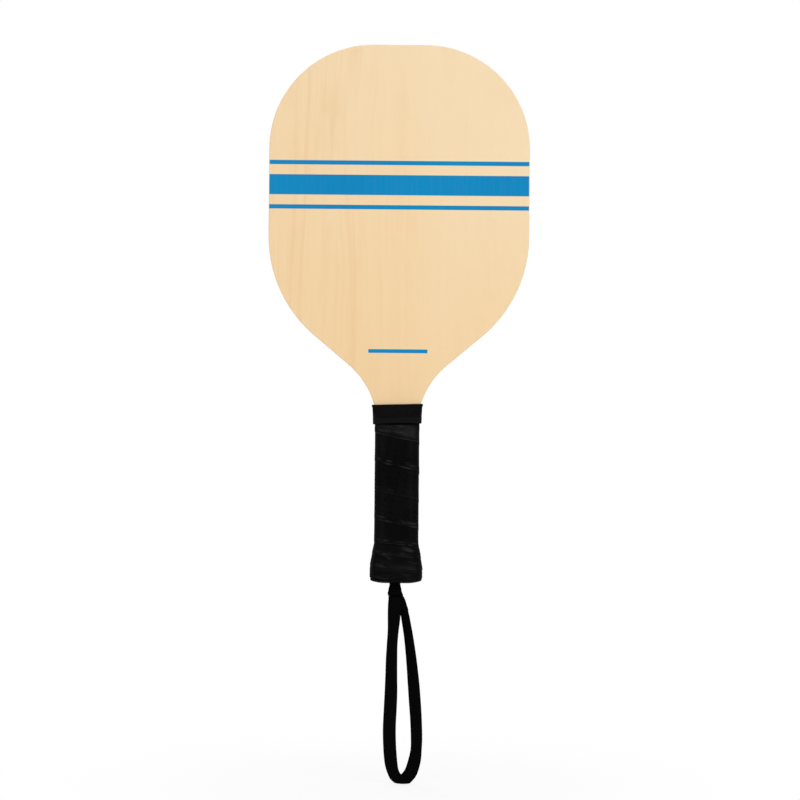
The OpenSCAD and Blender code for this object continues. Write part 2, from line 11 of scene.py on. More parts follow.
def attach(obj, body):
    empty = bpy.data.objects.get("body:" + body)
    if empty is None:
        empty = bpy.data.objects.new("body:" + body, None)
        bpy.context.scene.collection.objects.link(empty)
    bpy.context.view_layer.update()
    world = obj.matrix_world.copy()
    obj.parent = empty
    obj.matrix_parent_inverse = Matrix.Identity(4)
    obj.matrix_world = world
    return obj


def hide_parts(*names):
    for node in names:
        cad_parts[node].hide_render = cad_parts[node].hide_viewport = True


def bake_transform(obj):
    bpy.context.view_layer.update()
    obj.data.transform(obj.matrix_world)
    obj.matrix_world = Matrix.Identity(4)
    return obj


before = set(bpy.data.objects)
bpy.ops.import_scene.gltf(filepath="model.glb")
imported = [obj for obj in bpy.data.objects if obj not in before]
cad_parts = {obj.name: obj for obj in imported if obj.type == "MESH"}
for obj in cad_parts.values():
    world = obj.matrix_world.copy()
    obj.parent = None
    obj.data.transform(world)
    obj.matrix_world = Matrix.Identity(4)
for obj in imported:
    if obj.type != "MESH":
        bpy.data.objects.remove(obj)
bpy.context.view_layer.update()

# Sizes in millimetres. Heights run up from the butt end, as in the part's source.
# The hand holds the paddle at this height, and the frame has its origin there
HOLD_H = 60

# Plywood: half its outline, the steps of its arcs, and the holes for the strap and its pin
TANG_HALF, CAP_FLOOR = 15, 4
NECK_HOLLOW, SHOULDER_SLOPE, SHOULDER_TOP = (75, 116), 50, (62.35, 183.71)
LOWER_CORNER = (0, 258.02)
TOP_CORNER, TOP_CORNER_R, PADDLE_L = (19.5, 323), 77.5, 400.5
NECK_STEPS, LOWER_CORNER_STEPS, TOP_CORNER_STEPS, PIN_HOLE_STEPS = 18, 26, 36, 10
PIN_H, PIN_HOLE_R = 20, 1.54
MORTISE_HALF, MORTISE_TOP = 5.5, 28
# A ply that reaches further out than this is a face veneer, with one open face
VENEER_FROM = 4.5
# Margin of narrow faces along the edge of a flat
FLAT_INSET = 0.3

# Handle: centres and radius of its corners, and the gap under what is fitted on it
CORNER_X, CORNER_Y, HANDLE_ROUND, FIT_GAP = 8, 5, 7, 0.15
HANDLE_HALF_Y = CORNER_Y + HANDLE_ROUND
RING_STEPS = 12

# Grip tape: its climb on the handle and on the flare, its lap, and how far its seat stands out at each height
TAPE_T, TAPE_PITCH, START_PITCH, SEAM_H = 1.35, 21.3, 8.7, 43.9
TAPE_LAP, TAPE_W = 2.6, 23.9
TAPE_BOTTOM, GRIP_TOP = 3.46, 122.1
TAPE_SEAT = [(3.4, 3.1), (11.2, 3.1), (25, 0.975), (29, 0), (116, 0), (122.1, 0.311), (124.4, 0.591)]
CORNER_L = math.pi / 2 * (HANDLE_ROUND + (FIT_GAP + TAPE_T) / 2)
TURN_L = 4 * (CORNER_L + CORNER_X + CORNER_Y)
# The flat tape: its columns, its ends in turns from the middle of the front, its rows outside and inside
TAPE_COLUMN, TAPE_START, TAPE_END = 1.5, -4.73, 3.57
OUTER_ROWS = [
    0.4, 0.95, 1.6, 2.3, 3.4, 4.5, 5.6, 6.8, 7.9, 9.0, 10.2, 11.3,
    12.4, 13.5, 14.6, 15.8, 16.9, 18.0, 19.2, 20.3, 21.3, 22.4, TAPE_W,
]
INNER_ROWS = [TAPE_W, 19.2, 10.2, 4.1, 2.6, 1.2, 0.1]
# Its holes: rows with their stagger in columns, spacing and first one in columns, radius, height of the floor
HOLE_ROWS, HOLE_EVERY, FIRST_HOLE = ((3.4, 0), (7.9, 1), (12.4, 1), (16.9, 2)), 4, -25
HOLE_R, HOLE_FLOOR = 0.72, 0.6
# Where it is lapped: the thinned upper edge and its reach, the gap, the hollow beside the lap and its reach
TUCKED_T, TUCK_REACH, LAP_GAP, HOLLOW_T, HOLLOW_REACH = 0.3, 1.2, 0.04, 0.34, 1.5
# Its relief: the ridge along a lap and its reach, creases and where they lie, waves, swelling below the collar
RIDGE_T, RIDGE_REACH, CREASE_T, CREASE_AT, WAVE_T, SWELL_T = 0.34, 4.5, 0.15, 2.2, 0.05, 0.16

# Butt cap: its slot, its domed end and its lip
CAP_H, CAP_SEAT_R, SLOT_HALF, SLOT_EDGE = 24.5, 10.1, (4.975, 1.95), 0.9
DOME_R, LIP_CENTRE, LIP_ROUND, LIP_H = 33, (10, 2.813), 1.2, 3.4

# Collar: its bore and walls, how it sits askew, its ribs, and the part of a rib that takes a painted highlight
COLLAR_BOTTOM, COLLAR_TOP, COLLAR_RAMP = 118.3, 133, 123.1
COLLAR_IN, COLLAR_TOP_IN, COLLAR_TOP_R = 2.211, (17.609, 5.15), 0.5
COLLAR_WALL, COLLAR_TOP_WALL = 0.7, 1.1
COLLAR_TILT, COLLAR_BOW, COLLAR_FOOT, COLLAR_SQUEEZE = 0.026, 0.8, 5.2, 119.2
RIB_COUNT, RIB_FOOT, RIB_PITCH, RIB_HALF, RIB_T = 3, 0.5, 1.4, 0.7, 0.2
CREST_FROM, CREST_RISE, RIBS_END = 0.14, 0.06, 5

# Finishing film
FILM_T, FILM_IN, FILM_ON_TAPE, FILM_ON_WOOD = 0.2, 1.6, (118.7, 120.4, 122.2), (122.9, 124.25)

# Wrist strap: its webbing, its sewn bar, its fold, and the hole for the pin
STRAP_W, EDGE_LOOP, MOUTH_W, STRAP_T, LEG_Y = 9.4, 0.15, 8, 1.3, 0.9
SEWN_Z, FOLD_R, LEG_FAN, SEWN_PULL = -10, 1.55, 0.62, 0.2
FOLD_X, FOLD_HALF, FOLD_TOP, FOLD_SAG, FOLD_FADE = 6.6, 5.4, -145.8, 0.45, 3.5
STRAP_TOP, MOUTH_SWELL, MOUTH_LEAN, PIN_CLEAR = 26, 0.7, 0.65, 1.7
# Its neck: the height at which each change of form begins, and over what length it comes in
PINCH_FROM, PINCH_TO = (7.8, 2.8), (-5.2, 3.6)
SWELL_FROM, SWELL_TO = (-5, 2.5), (SEWN_Z, 1.4)
LEAN_FROM, LEAN_TO = (4, 4), (SEWN_Z, 2.5)
PULL_FROM, FAN_FROM = (-1.5, 7), (-6.2, 3.6)
# Its weave: distance from pick to pick, ribs across, relief, and the power that rounds its edges
PICK, RIBS, WEAVE_T, EDGE_POWER = 0.55, 20, 0.055, 12
STITCHES, STITCH_STEP, BAR_HALF, STITCH_LEAN = 15, 0.42, 2.94, 9
# Samples to a stretch of its route, and to either side of a place where its direction is read
CURVE_STEPS, READ_STEPS, PATH_STEP = 24, 6, 2
# Points of the two legs: sideways, out from the middle, height, turn of the webbing in degrees
FRONT_LEG = [
    (-LEG_FAN, 0.7, SEWN_Z, 0), (-0.6, 0.71, -11.5, 0), (-0.62, 0.79, -13.2, 0), (-0.88, 0.94, -16, 0),
    (-1.03, 1.1, -21, 5),
    (-1.2, 1.3, -27.5, 17), (-1.65, 1.6, -35.5, 31.5), (-2.35, 1.9, -46, 34), (-2.7, 2.2, -58, 27.5),
    (-2.8, 2.4, -70, 22.5), (-2.93, 2.5, -82, 11), (-3.32, 2.5, -93, 1), (-3.9, 2.4, -108, 0), (-3.6, 2.2, -121, 0),
    (-2.73, 1.9, -132, 5), (-1.55, 1.7, -139, 19), (0.45, 1.7, -143.5, 22), (4.7, FOLD_R, -147.6, 0),
]
BACK_LEG = [
    (8, FOLD_R, -147.6, 0), (11.1, FOLD_R, -143.8, 1), (13.15, 1.6, -139.8, 4), (15.2, 1.9, -132.3, 17),
    (16.22, 2.2, -125, 31), (16.45, 2.4, -116, 27.5), (15.95, 2.5, -103, 25.5), (15.1, 2.6, -91, 22.5),
    (14, 2.6, -77, 24.5), (12.88, 2.6, -65, 31), (11.5, 2.4, -52.5, 37.5), (9.85, 2.1, -40.5, 43.5),
    (8.12, 1.9, -30.5, 47), (7.14, 1.8, -25.3, 48.5), (5.9, 1.65, -22.1, 41), (4.2, 1.5, -19.1, 20),
    (3.1, 1.25, -16, 7), (2.1, 0.95, -13.5, 2), (0.75, 0.74, -11.4, 0), (LEG_FAN, 0.7, SEWN_Z, 0),
]


def eased(share):
    share = max(0.0, min(1.0, share))
    return share * share * (3 - 2 * share)


def below(z, height, length):
    """0 above a height, 1 from a length below it."""
    return eased((height - z) / length)


def above(z, height, length):
    """0 below a height, 1 from a length above it."""
    return eased((z - height) / length)


def row_point(x, y, z):
    """A point drawn from the butt end up, in metres in the frame of the part."""
    return Vector((x, y, z - HOLD_H)) * 0.001


def made_piece(bm, name, finish, sharp):
    """The object of a piece that was drawn in millimetres from the butt end up."""
    bmesh.ops.translate(bm, vec=(0, 0, -HOLD_H), verts=bm.verts)
    bmesh.ops.scale(bm, vec=(0.001, 0.001, 0.001), verts=bm.verts)
    for face in bm.faces:
        face.smooth = True
    for edge in bm.edges:
        edge.smooth = edge.calc_face_angle(0) < math.radians(sharp)
    mesh = bpy.data.meshes.new(name)
    bm.to_mesh(mesh)
    bm.free()
    mesh.materials.append(finish)
    piece = bpy.data.objects.new(name, mesh)
    bpy.context.scene.collection.objects.link(piece)
    return piece


# Finishes. Their lengths are in metres, their colours are linear.

PALE_VENEER, WARM_VENEER = (0.965, 0.762, 0.502), (0.945, 0.686, 0.39)
STREAK_BROWN, THIN_BROWN, FLECK_BROWN = (0.87, 0.565, 0.29), (0.86, 0.56, 0.295), (0.85, 0.57, 0.31)
# The last brown is painted shade for the veneers' rounded rim
FIBRE_BROWN, CLOUD_BROWN, RIM_BROWN = (0.82, 0.54, 0.28), (0.86, 0.57, 0.3), (0.62, 0.40, 0.2)
# Stripes on the front: height of the middle and half the width, then a short one and half its length
DEEP_BLUE, LIGHT_BLUE = (0.001, 0.245, 0.535), (0.0015, 0.262, 0.56)
STRIPES = ((0.236, 0.0075), (0.2525, 0.0016), (0.2195, 0.0016))
SHORT_STRIPE, SHORT_HALF = (0.1125, 0.0014), 0.022
# Inner plies: share of the colour on cut fibres, stretch of the grain, first glue line and half a ply
CUT_SHADE, GRAIN_STRETCH, GLUE_BROWN = 0.45, 0.03, (0.13, 0.07, 0.03)
GLUE_FROM, PLY_HALF, PLY_ROUGH = 0.004, 0.0008, 0.55
CUSHION_DARK, CUSHION_PALE = (0.0029, 0.0029, 0.003), (0.0042, 0.0042, 0.0042)
# Painted shade just below the collar, then the colour of the painted highlights
CUSHION_SHADED, CUSHION_RUBBED = (0.0008, 0.0008, 0.0008), (0.03, 0.03, 0.0302)
# Moulded pieces: scale of the grit, and how much paler their crests are painted, as a highlight
GRIT, CREST_PALER = 2600, 1.8


def new_finish(name, **fixed):
    """A material with a plain shader, whose constant sockets are set by name."""
    finish = bpy.data.materials.new(name)
    finish.use_nodes = True
    shader = finish.node_tree.nodes["Principled BSDF"]
    for socket, value in fixed.items():
        shader.inputs[socket.replace("_", " ")].default_value = value
    return finish, finish.node_tree, shader


def put(tree, kind, inputs=None, **settings):
    """A node with its settings, whose inputs take a value or another node's output."""
    node = tree.nodes.new("ShaderNode" + kind)
    for setting, value in settings.items():
        setattr(node, setting, value)
    for socket, value in (inputs or {}).items():
        if isinstance(value, bpy.types.NodeSocket):
            tree.links.new(value, node.inputs[socket])
        else:
            node.inputs[socket].default_value = value
    return node


def place(tree, scale=(1, 1, 1), shift=(0, 0, 0), source="Object"):
    """Coordinates of the piece itself, drawn out along its grain."""
    where = put(tree, "TexCoord").outputs[source]
    return put(tree, "Mapping", {"Vector": where, "Scale": scale, "Location": shift}).outputs["Vector"]


def mottle(tree, where, scale, detail=2, roughness=0.5):
    return put(
        tree, "TexNoise", {"Vector": where, "Scale": scale, "Detail": detail, "Roughness": roughness}
    ).outputs["Fac"]


def spread(tree, value, low, high, to_low=0.0, to_high=1.0):
    """A value stretched from one range to another, softly and within limits."""
    return put(
        tree,
        "MapRange",
        {"Value": value, "From Min": low, "From Max": high, "To Min": to_low, "To Max": to_high},
        interpolation_type="SMOOTHSTEP",
    ).outputs["Result"]


def sums(tree, kind, first, second=0.0):
    return put(tree, "Math", {0: first, 1: second}, operation=kind).outputs[0]


def times(tree, first, *others):
    """The product of several values, each a number or a node's output."""
    for other in others:
        first = sums(tree, "MULTIPLY", first, other)
    return first


def most(tree, first, *others):
    """The greatest of several values."""
    for other in others:
        first = sums(tree, "MAXIMUM", first, other)
    return first


def tinted(tree, share, first, second):
    """A colour between two others, each a colour or a node's output."""
    first, second = ((*c, 1) if isinstance(c, tuple) else c for c in (first, second))
    return put(tree, "Mix", {0: share, 6: first, 7: second}, data_type="RGBA").outputs[2]


def raise_from(tree, shader, height, distance, strength):
    """Small relief from a height between 0 and 1, over a distance in metres."""
    bump = put(tree, "Bump", {"Height": height, "Distance": distance, "Strength": strength})
    tree.links.new(bump.outputs["Normal"], shader.inputs["Normal"])


def stripe(tree, value, middle, half, soft=0.00012):
    """1 within half a width of the middle, 0 outside."""
    away = sums(tree, "ABSOLUTE", sums(tree, "SUBTRACT", value, middle))
    return spread(tree, away, half - soft, half + soft, 1.0, 0.0)


def plywood_finish(name, pale, dark, along_x, seed):
    """One ply: fibres along its grain, darker end grain where they are cut, thin glue lines."""
    finish, tree, shader = new_finish(name, Specular_IOR_Level=0.3)
    drawn = (GRAIN_STRETCH, 1, 1) if along_x else (1, 1, GRAIN_STRETCH)
    grain = place(tree, drawn, (seed, 0, seed))
    streaks = mottle(tree, grain, 210, 3, 0.6)
    fibres = mottle(tree, grain, 1500, 2)
    normal = put(tree, "SeparateXYZ", {0: put(tree, "TexCoord").outputs["Normal"]}).outputs
    cut = spread(tree, sums(tree, "ABSOLUTE", normal[0 if along_x else 2]), 0.35, 0.95)
    depth = put(tree, "SeparateXYZ", {0: place(tree)}).outputs[1]
    from_glue = sums(tree, "PINGPONG", sums(tree, "ADD", depth, GLUE_FROM), PLY_HALF)
    glue = spread(tree, from_glue, 0.00004, 0.00011, 0.75, 0.0)
    wood = tinted(tree, spread(tree, streaks, 0.3, 0.72), pale, dark)
    end_grain = times(tree, cut, spread(tree, fibres, 0.2, 0.75, 0.25, 0.7))
    wood = tinted(tree, end_grain, wood, tuple(c * CUT_SHADE for c in dark))
    wood = tinted(tree, glue, wood, GLUE_BROWN)
    tree.links.new(wood, shader.inputs["Base Color"])
    tree.links.new(spread(tree, fibres, 0.2, 0.8, PLY_ROUGH - 0.06, PLY_ROUGH + 0.1), shader.inputs["Roughness"])
    raise_from(tree, shader, fibres, 0.00004, 0.6)
    return finish


def veneer_finish(name, side, striped):
    """Pale face veneer: narrow upright streaks on one half, faint flecks on the other, a satin lacquer, painted light
    that leaves it paler towards the top right, and painted shade along its rim.
    """
    finish, tree, shader = new_finish(name, Specular_IOR_Level=0.06)
    flat = put(tree, "SeparateXYZ", {0: place(tree)})
    across = times(tree, flat.outputs[0], side)
    depth, up = flat.outputs[1], flat.outputs[2]
    sway = mottle(tree, place(tree, (1, 1, 0.4), (side, 0, 0)), 20, 1)
    bent = put(
        tree,
        "CombineXYZ",
        {
            0: sums(tree, "ADD", flat.outputs[0], times(tree, sway, 0.016)),
            1: depth,
            2: times(tree, up, 0.02),
        },
    ).outputs[0]
    streaks = mottle(tree, bent, 165, 2, 0.55)
    fine_streaks = mottle(tree, bent, 420, 2, 0.6)
    fibres = mottle(tree, place(tree, (1, 1, 0.012), (side * 3, 0, 0)), 1900, 2)
    flecks = mottle(tree, place(tree, (1, 1, 0.35), (0, side, 0)), 230, 3, 0.65)
    clouds = mottle(tree, place(tree, (1, 1, 0.5), (side * 5, 0, 0)), 16, 2)
    figure = mottle(tree, place(tree, (1, 1, 0.28), (side * 2, 0, 0.6)), 58, 3, 0.6)

    left_half = spread(tree, across, -0.062, 0.03, 1.0, 0.12)
    # Painted light: paler towards the top and the right, warmer and darker towards the bottom and the left, with random
    # cloudy tone mixed in
    cool_half = times(tree, spread(tree, across, 0.008, 0.036, 0.0, 0.1), spread(tree, up, 0.14, 0.27, 0.1, 1.0))
    warmth = sums(tree, "SUBTRACT", times(tree, up, -0.8), times(tree, across, 0.3))
    warmth = sums(tree, "ADD", sums(tree, "SUBTRACT", warmth, cool_half), times(tree, clouds, 0.22))
    wood = tinted(tree, spread(tree, warmth, -0.33, 0.12), PALE_VENEER, WARM_VENEER)
    wood = tinted(tree, times(tree, spread(tree, streaks, 0.5, 0.74), left_half, 0.36), wood, STREAK_BROWN)
    wood = tinted(tree, times(tree, spread(tree, fine_streaks, 0.52, 0.8), left_half, 0.36), wood, THIN_BROWN)
    right_half = spread(tree, across, -0.05, 0.05, 0.2, 1.0)
    wood = tinted(tree, times(tree, spread(tree, flecks, 0.6, 0.78), right_half, 0.22), wood, FLECK_BROWN)
    wood = tinted(tree, spread(tree, fibres, 0.35, 0.85, 0.0, 0.07), wood, FIBRE_BROWN)
    cloudy = times(tree, spread(tree, figure, 0.5, 0.78), spread(tree, across, -0.04, 0.05, 0.3, 0.16))
    wood = tinted(tree, cloudy, wood, CLOUD_BROWN)
    if striped:
        bands = [stripe(tree, up, *band) for band in STRIPES]
        short = times(tree, stripe(tree, across, 0, SHORT_HALF), stripe(tree, up, *SHORT_STRIPE))
        on_front = spread(tree, depth, -0.00499, -0.0047, 1.0, 0.0)
        worn = spread(tree, fibres, 0.2, 0.9, 1.0, 0.985)
        ink = tinted(tree, spread(tree, clouds, 0.3, 0.7), DEEP_BLUE, LIGHT_BLUE)
        wood = tinted(tree, times(tree, most(tree, *bands, short), on_front, worn), wood, ink)
    # Painted shade: darker brown along the rounded rim of the veneer
    rim = spread(tree, sums(tree, "ABSOLUTE", depth), 0.0041, 0.0049, 1.0, 0.0)
    wood = tinted(tree, times(tree, rim, 0.35), wood, RIM_BROWN)
    tree.links.new(wood, shader.inputs["Base Color"])
    tree.links.new(spread(tree, fibres, 0.2, 0.8, 0.42, 0.56), shader.inputs["Roughness"])
    raise_from(tree, shader, sums(tree, "ADD", fibres, times(tree, fine_streaks, 0.6)), 0.00002, 0.5)
    return finish


def cushion_finish():
    """Black cushion tape: a fine skin grain, with painted highlights along its laps, on its corners, on its flare and
    on its last turn, and painted shade just below the collar.
    """
    finish, tree, shader = new_finish("black_cushion_tape", Specular_IOR_Level=0.008)
    skin = place(tree, source="UV")
    flat = put(tree, "SeparateXYZ", {0: skin}).outputs
    along, across = flat[0], flat[1]
    spot = put(tree, "SeparateXYZ", {0: place(tree)}).outputs
    side, up = sums(tree, "ABSOLUTE", spot[0]), spot[2]
    pebbles = put(tree, "TexVoronoi", {"Vector": skin, "Scale": 95}).outputs["Distance"]
    grain = mottle(tree, skin, 60, 3, 0.6)
    patches = mottle(tree, place(tree), 45, 2)
    wrinkles = mottle(tree, place(tree, (0.14, 1, 1), (0, 0.4, 0), "UV"), 75, 2, 0.55)
    wear = mottle(tree, place(tree, (1, 0.2, 1), (0.3, 0, 0), "UV"), 10, 2)
    other_wear = mottle(tree, place(tree, (1, 0.2, 1), (0.83, 0, 0), "UV"), 12, 2)
    # Share of painted highlight at each point: more on ridges and creases, none in the holes
    open_skin = put(tree, "Attribute", attribute_name="rub").outputs["Fac"]

    # Painted highlights: pale lines along each turn's lower edge and along the ridge above it, and pale crease streaks,
    # weaker down the middle and at mid-height of the grip
    lower_edge = times(tree, stripe(tree, across, 0.010, 0.004, 0.007), spread(tree, wear, 0.4, 0.62))
    ridge = times(tree, stripe(tree, across, 0.033, 0.005, 0.009), spread(tree, other_wear, 0.43, 0.64))
    creased = times(tree, spread(tree, wrinkles, 0.57, 0.74, 0.0, 0.65), stripe(tree, across, 0.035, 0.03, 0.045))
    palm = sums(tree, "ABSOLUTE", sums(tree, "SUBTRACT", up, 0.006))
    worn = times(
        tree,
        most(tree, lower_edge, ridge, creased),
        spread(tree, side, 0.001, 0.009, 0.3, 1.0),
        spread(tree, palm, 0.003, 0.016, 0.35, 1.0),
    )
    on_flare = spread(tree, up, -0.036, -0.029, 1.0, 0.0)
    # Painted highlight along the rounded corners, above the flare
    corner = times(
        tree,
        stripe(tree, side, 0.0108, 0.001, 0.0034),
        spread(tree, patches, 0.3, 0.7, 0.06, 0.2),
        sums(tree, "SUBTRACT", 1.0, on_flare),
    )
    # Painted highlights: pale slanting patches on the flare
    slanted = sums(tree, "ADD", sums(tree, "SUBTRACT", up, 0.0095), times(tree, spot[0], 0.22))
    drawn = put(tree, "CombineXYZ", {0: spot[0], 1: spot[1], 2: times(tree, slanted, 4.2)}).outputs[0]
    scuffs = times(
        tree,
        spread(tree, mottle(tree, drawn, 62, 2, 0.45), 0.48, 0.74, 0.0, 0.8),
        spread(tree, side, 0.001, 0.008, 0.25, 1.0),
        spread(tree, up, -0.0555, -0.05, 0.25, 1.0),
        on_flare,
    )
    # Painted highlight round the widest part of the flare
    widest = times(tree, stripe(tree, up, -0.0482, 0.0018, 0.0034), spread(tree, patches, 0.3, 0.7, 0.1, 0.3))
    worn = most(tree, worn, scuffs, widest)

    # Painted shade just below the collar's foot
    by_collar = spread(tree, up, 0.0572, 0.0582)
    # Painted sheen on the last turn, brightest towards the right, kept out of the painted shade just under the collar
    last_turn = times(tree, stripe(tree, along, 3.02, 0.19, 0.07), spread(tree, along, 2.9, 3.15, 1.0, 0.75))
    polish = times(
        tree,
        most(tree, stripe(tree, across, 0.074, 0.046, 0.014), stripe(tree, across, 0.007, 0.002, 0.006)),
        last_turn,
        spread(tree, wrinkles, 0.34, 0.68, 0.38, 1.0),
        spread(tree, side, 0.0105, 0.0148, 1.0, 0.35),
        spread(tree, wear, 0.34, 0.66, 0.55, 1.15),
        sums(tree, "SUBTRACT", 1.0, by_collar),
    )
    # All the painted highlights together, fading at the sides
    pale = times(
        tree,
        most(tree, worn, polish, corner),
        spread(tree, side, 0.0138, 0.0162, 1.0, 0.25),
        open_skin,
    )

    black = tinted(tree, spread(tree, patches, 0.3, 0.7), CUSHION_DARK, CUSHION_PALE)
    # Painted shade: the tape darker just under the collar
    black = tinted(tree, by_collar, black, CUSHION_SHADED)
    tree.links.new(tinted(tree, pale, black, CUSHION_RUBBED), shader.inputs["Base Color"])
    rough = sums(tree, "SUBTRACT", spread(tree, grain, 0.25, 0.75, 0.44, 0.58), times(tree, pale, 0.1))
    tree.links.new(rough, shader.inputs["Roughness"])
    raise_from(tree, shader, sums(tree, "ADD", pebbles, grain), 0.00006, 0.5)
    return finish


def moulded_finish(name, dark, pale, specular, roughness):
    """Moulded rubber or plastic: a fine matt grit, faint cloudy patches, and crests painted paler as a highlight where
    it has some.
    """
    finish, tree, shader = new_finish(name, Specular_IOR_Level=specular)
    where = place(tree)
    fine = mottle(tree, where, GRIT, 2)
    patches = mottle(tree, where, 70, 3, 0.6)
    crest = put(tree, "Attribute", attribute_name="rub").outputs["Fac"]
    skin = tinted(tree, spread(tree, patches, 0.3, 0.7), dark, pale)
    # Painted highlight: crests paler
    skin = tinted(tree, crest, skin, tuple(c * CREST_PALER for c in pale))
    tree.links.new(skin, shader.inputs["Base Color"])
    tree.links.new(spread(tree, patches, 0.25, 0.75, roughness - 0.05, roughness + 0.06), shader.inputs["Roughness"])
    raise_from(tree, shader, fine, 0.00005, 0.5)
    return finish


def webbing_finish(name, dark, pale):
    """Black woven yarn: fine threads along and across the strap."""
    finish, tree, shader = new_finish(name, Specular_IOR_Level=0.01)
    woven = place(tree, source="UV")
    along = mottle(tree, place(tree, (0.15, 1, 1), source="UV"), 330, 2)
    across = mottle(tree, place(tree, (1, 0.15, 1), source="UV"), 330, 2)
    yarn = times(tree, along, across)
    tree.links.new(tinted(tree, spread(tree, yarn, 0.12, 0.42), dark, pale), shader.inputs["Base Color"])
    tree.links.new(spread(tree, mottle(tree, woven, 25), 0.3, 0.7, 0.72, 0.86), shader.inputs["Roughness"])
    raise_from(tree, shader, yarn, 0.00008, 0.7)
    return finish


def steel_finish():
    """Drawn steel wire with fine lengthwise scratches."""
    finish, tree, shader = new_finish("drawn_steel", Metallic=1.0)
    scratches = mottle(tree, place(tree, (1, 0.06, 1)), 3200, 2)
    tree.links.new(tinted(tree, scratches, (0.42, 0.43, 0.44), (0.62, 0.63, 0.64)), shader.inputs["Base Color"])
    tree.links.new(spread(tree, scratches, 0.2, 0.8, 0.25, 0.42), shader.inputs["Roughness"])
    raise_from(tree, shader, scratches, 0.00002, 0.4)
    return finish


front_wood = veneer_finish("front_veneer_wood", 1, True)
back_wood = veneer_finish("back_veneer_wood", -1, False)
cross_wood = plywood_finish("crossband_wood", (0.74, 0.53, 0.31), (0.62, 0.42, 0.23), True, 0.7)
long_wood = plywood_finish("long_grain_wood", (0.84, 0.64, 0.39), (0.73, 0.52, 0.29), False, 0.3)
scale_wood = plywood_finish("handle_wood", (0.76, 0.57, 0.35), (0.64, 0.45, 0.25), False, 0.9)
cushion = cushion_finish()
cap_plastic = moulded_finish("black_cap_plastic", (0.0036, 0.0036, 0.0036), (0.0052, 0.0052, 0.0052), 0.008, 0.5)
collar_rubber = moulded_finish("black_collar_rubber", (0.0043, 0.0043, 0.0044), (0.0056, 0.0056, 0.0058), 0.008, 0.62)
film = moulded_finish("black_finishing_film", (0.006, 0.006, 0.006), (0.009, 0.009, 0.009), 0.25, 0.3)
webbing = webbing_finish("black_webbing", (0.0015, 0.0015, 0.0015), (0.0035, 0.0035, 0.0035))
# The thread is black, and darker still than the webbing as painted shade along the sewn bar
thread = webbing_finish("black_thread", (0.0006, 0.0006, 0.0006), (0.0014, 0.0014, 0.0014))
steel = steel_finish()

# Camera: straight on to the front, rolled a little because the paddle leans in the picture

camera = bpy.data.objects.new("camera", bpy.data.cameras.new("camera"))
camera.data.lens, camera.data.sensor_width = 100, 36
camera.location = (0.00191, -1.6583, 0.0762)
camera.rotation_euler = (math.radians(90), math.radians(-0.5), 0)
bpy.context.scene.collection.objects.link(camera)
bpy.context.scene.camera = camera

# Wrist strap


def flat_tube(bm, stops, section):
    """A flat closed tube: its stops along x, and the (y, z) points once round its section."""
    bmesh.ops.create_grid(bm, x_segments=len(stops) - 1, y_segments=len(section), size=1)
    for vert in bm.verts:
        stop = round((vert.co.x + 1) / 2 * (len(stops) - 1))
        point = round((vert.co.y + 1) / 2 * len(section)) % len(section)
        vert.co = (stops[stop], *section[point])
    bmesh.ops.remove_doubles(bm, verts=bm.verts, dist=0.0001)
    bmesh.ops.holes_fill(bm, edges=bm.edges, sides=0)
    bmesh.ops.recalc_face_normals(bm, faces=bm.faces)


def lay_uv(bm, name):
    """Keeps the flat place of every point, in units of 100 mm, for a pattern that follows the piece."""
    layer = bm.loops.layers.uv.new(name)
    for face in bm.faces:
        for loop in face.loops:
            loop[layer].uv = loop.vert.co.xy * 0.01


def woven_strip(bm, length):
    """Flat webbing along x, with rounded selvedges and a plain weave."""
    steps, half_w = round(length / PICK), STRAP_W / 2 + EDGE_LOOP
    shares = [2 * j / RIBS - 1 for j in range(RIBS + 1)]
    face = [(share * half_w, STRAP_T / 2 * math.sqrt(1 - abs(share) ** EDGE_POWER)) for share in shares]
    section = face + [(y, -z) for y, z in face[-2:0:-1]]
    flat_tube(bm, [length * i / steps for i in range(steps + 1)], section)
    bmesh.ops.poke(bm, faces=[end for end in bm.faces if len(end.verts) > 4])
    lay_uv(bm, "weave")
    for vert in bm.verts:
        pick, rib = round(vert.co.x / length * steps), round((vert.co.y / half_w + 1) * RIBS / 2)
        if 0 < rib < RIBS:
            vert.co.z += WEAVE_T * (-1) ** (pick + rib)


def smooth_through(points):
    """A smooth curve through points, with the same number of samples to each stretch."""
    curve = []
    for i in range(len(points) - 1):
        b, c = Vector(points[i]), Vector(points[i + 1])
        a = Vector(points[i - 1]) if i else 2 * b - c
        d = Vector(points[i + 2]) if i + 2 < len(points) else 2 * c - b
        for s in range(CURVE_STEPS):
            t = s / CURVE_STEPS
            curve.append(b + t * ((c - a) / 2 + t * (a - 2.5 * b + 2 * c - d / 2 + t * (1.5 * (b - c) + (d - a) / 2))))
    return curve + [Vector(points[-1])]


def strap_route():
    """The middle of the webbing from the front of the sewn bar round to its back: place, width and outside."""
    route = []
    (fold_x, _, fold_z, _), (fold_end_x, _, _, _) = FRONT_LEG[-1], BACK_LEG[0]
    for leg, side in ((FRONT_LEG, -1), (BACK_LEG, 1)):
        if side > 0:
            for s in range(1, CURVE_STEPS):
                a = math.pi * s / CURVE_STEPS
                x = fold_x + (fold_end_x - fold_x) * s / CURVE_STEPS
                route.append((
                    Vector((x, -FOLD_R * math.cos(a), fold_z - FOLD_R * math.sin(a))),
                    Vector((1, 0, 0)),
                    Vector((0, -math.cos(a), -math.sin(a))),
                ))
        for x, out, z, turn in smooth_through(leg):
            turn = math.radians(turn)
            route.append((
                Vector((x, side * out, z)),
                Vector((math.cos(turn), -math.sin(turn), 0)),
                side * Vector((math.sin(turn), math.cos(turn), 0)),
            ))
    return route


def stretch_at(table, value):
    """The stretch in which a rising table passes a value, and the share of it."""
    low, high = 0, len(table) - 1
    while high - low > 1:
        middle = (low + high) // 2
        low, high = (middle, high) if table[middle] <= value else (low, middle)
    return low, max(0.0, min(1.0, (value - table[low]) / (table[high] - table[low])))


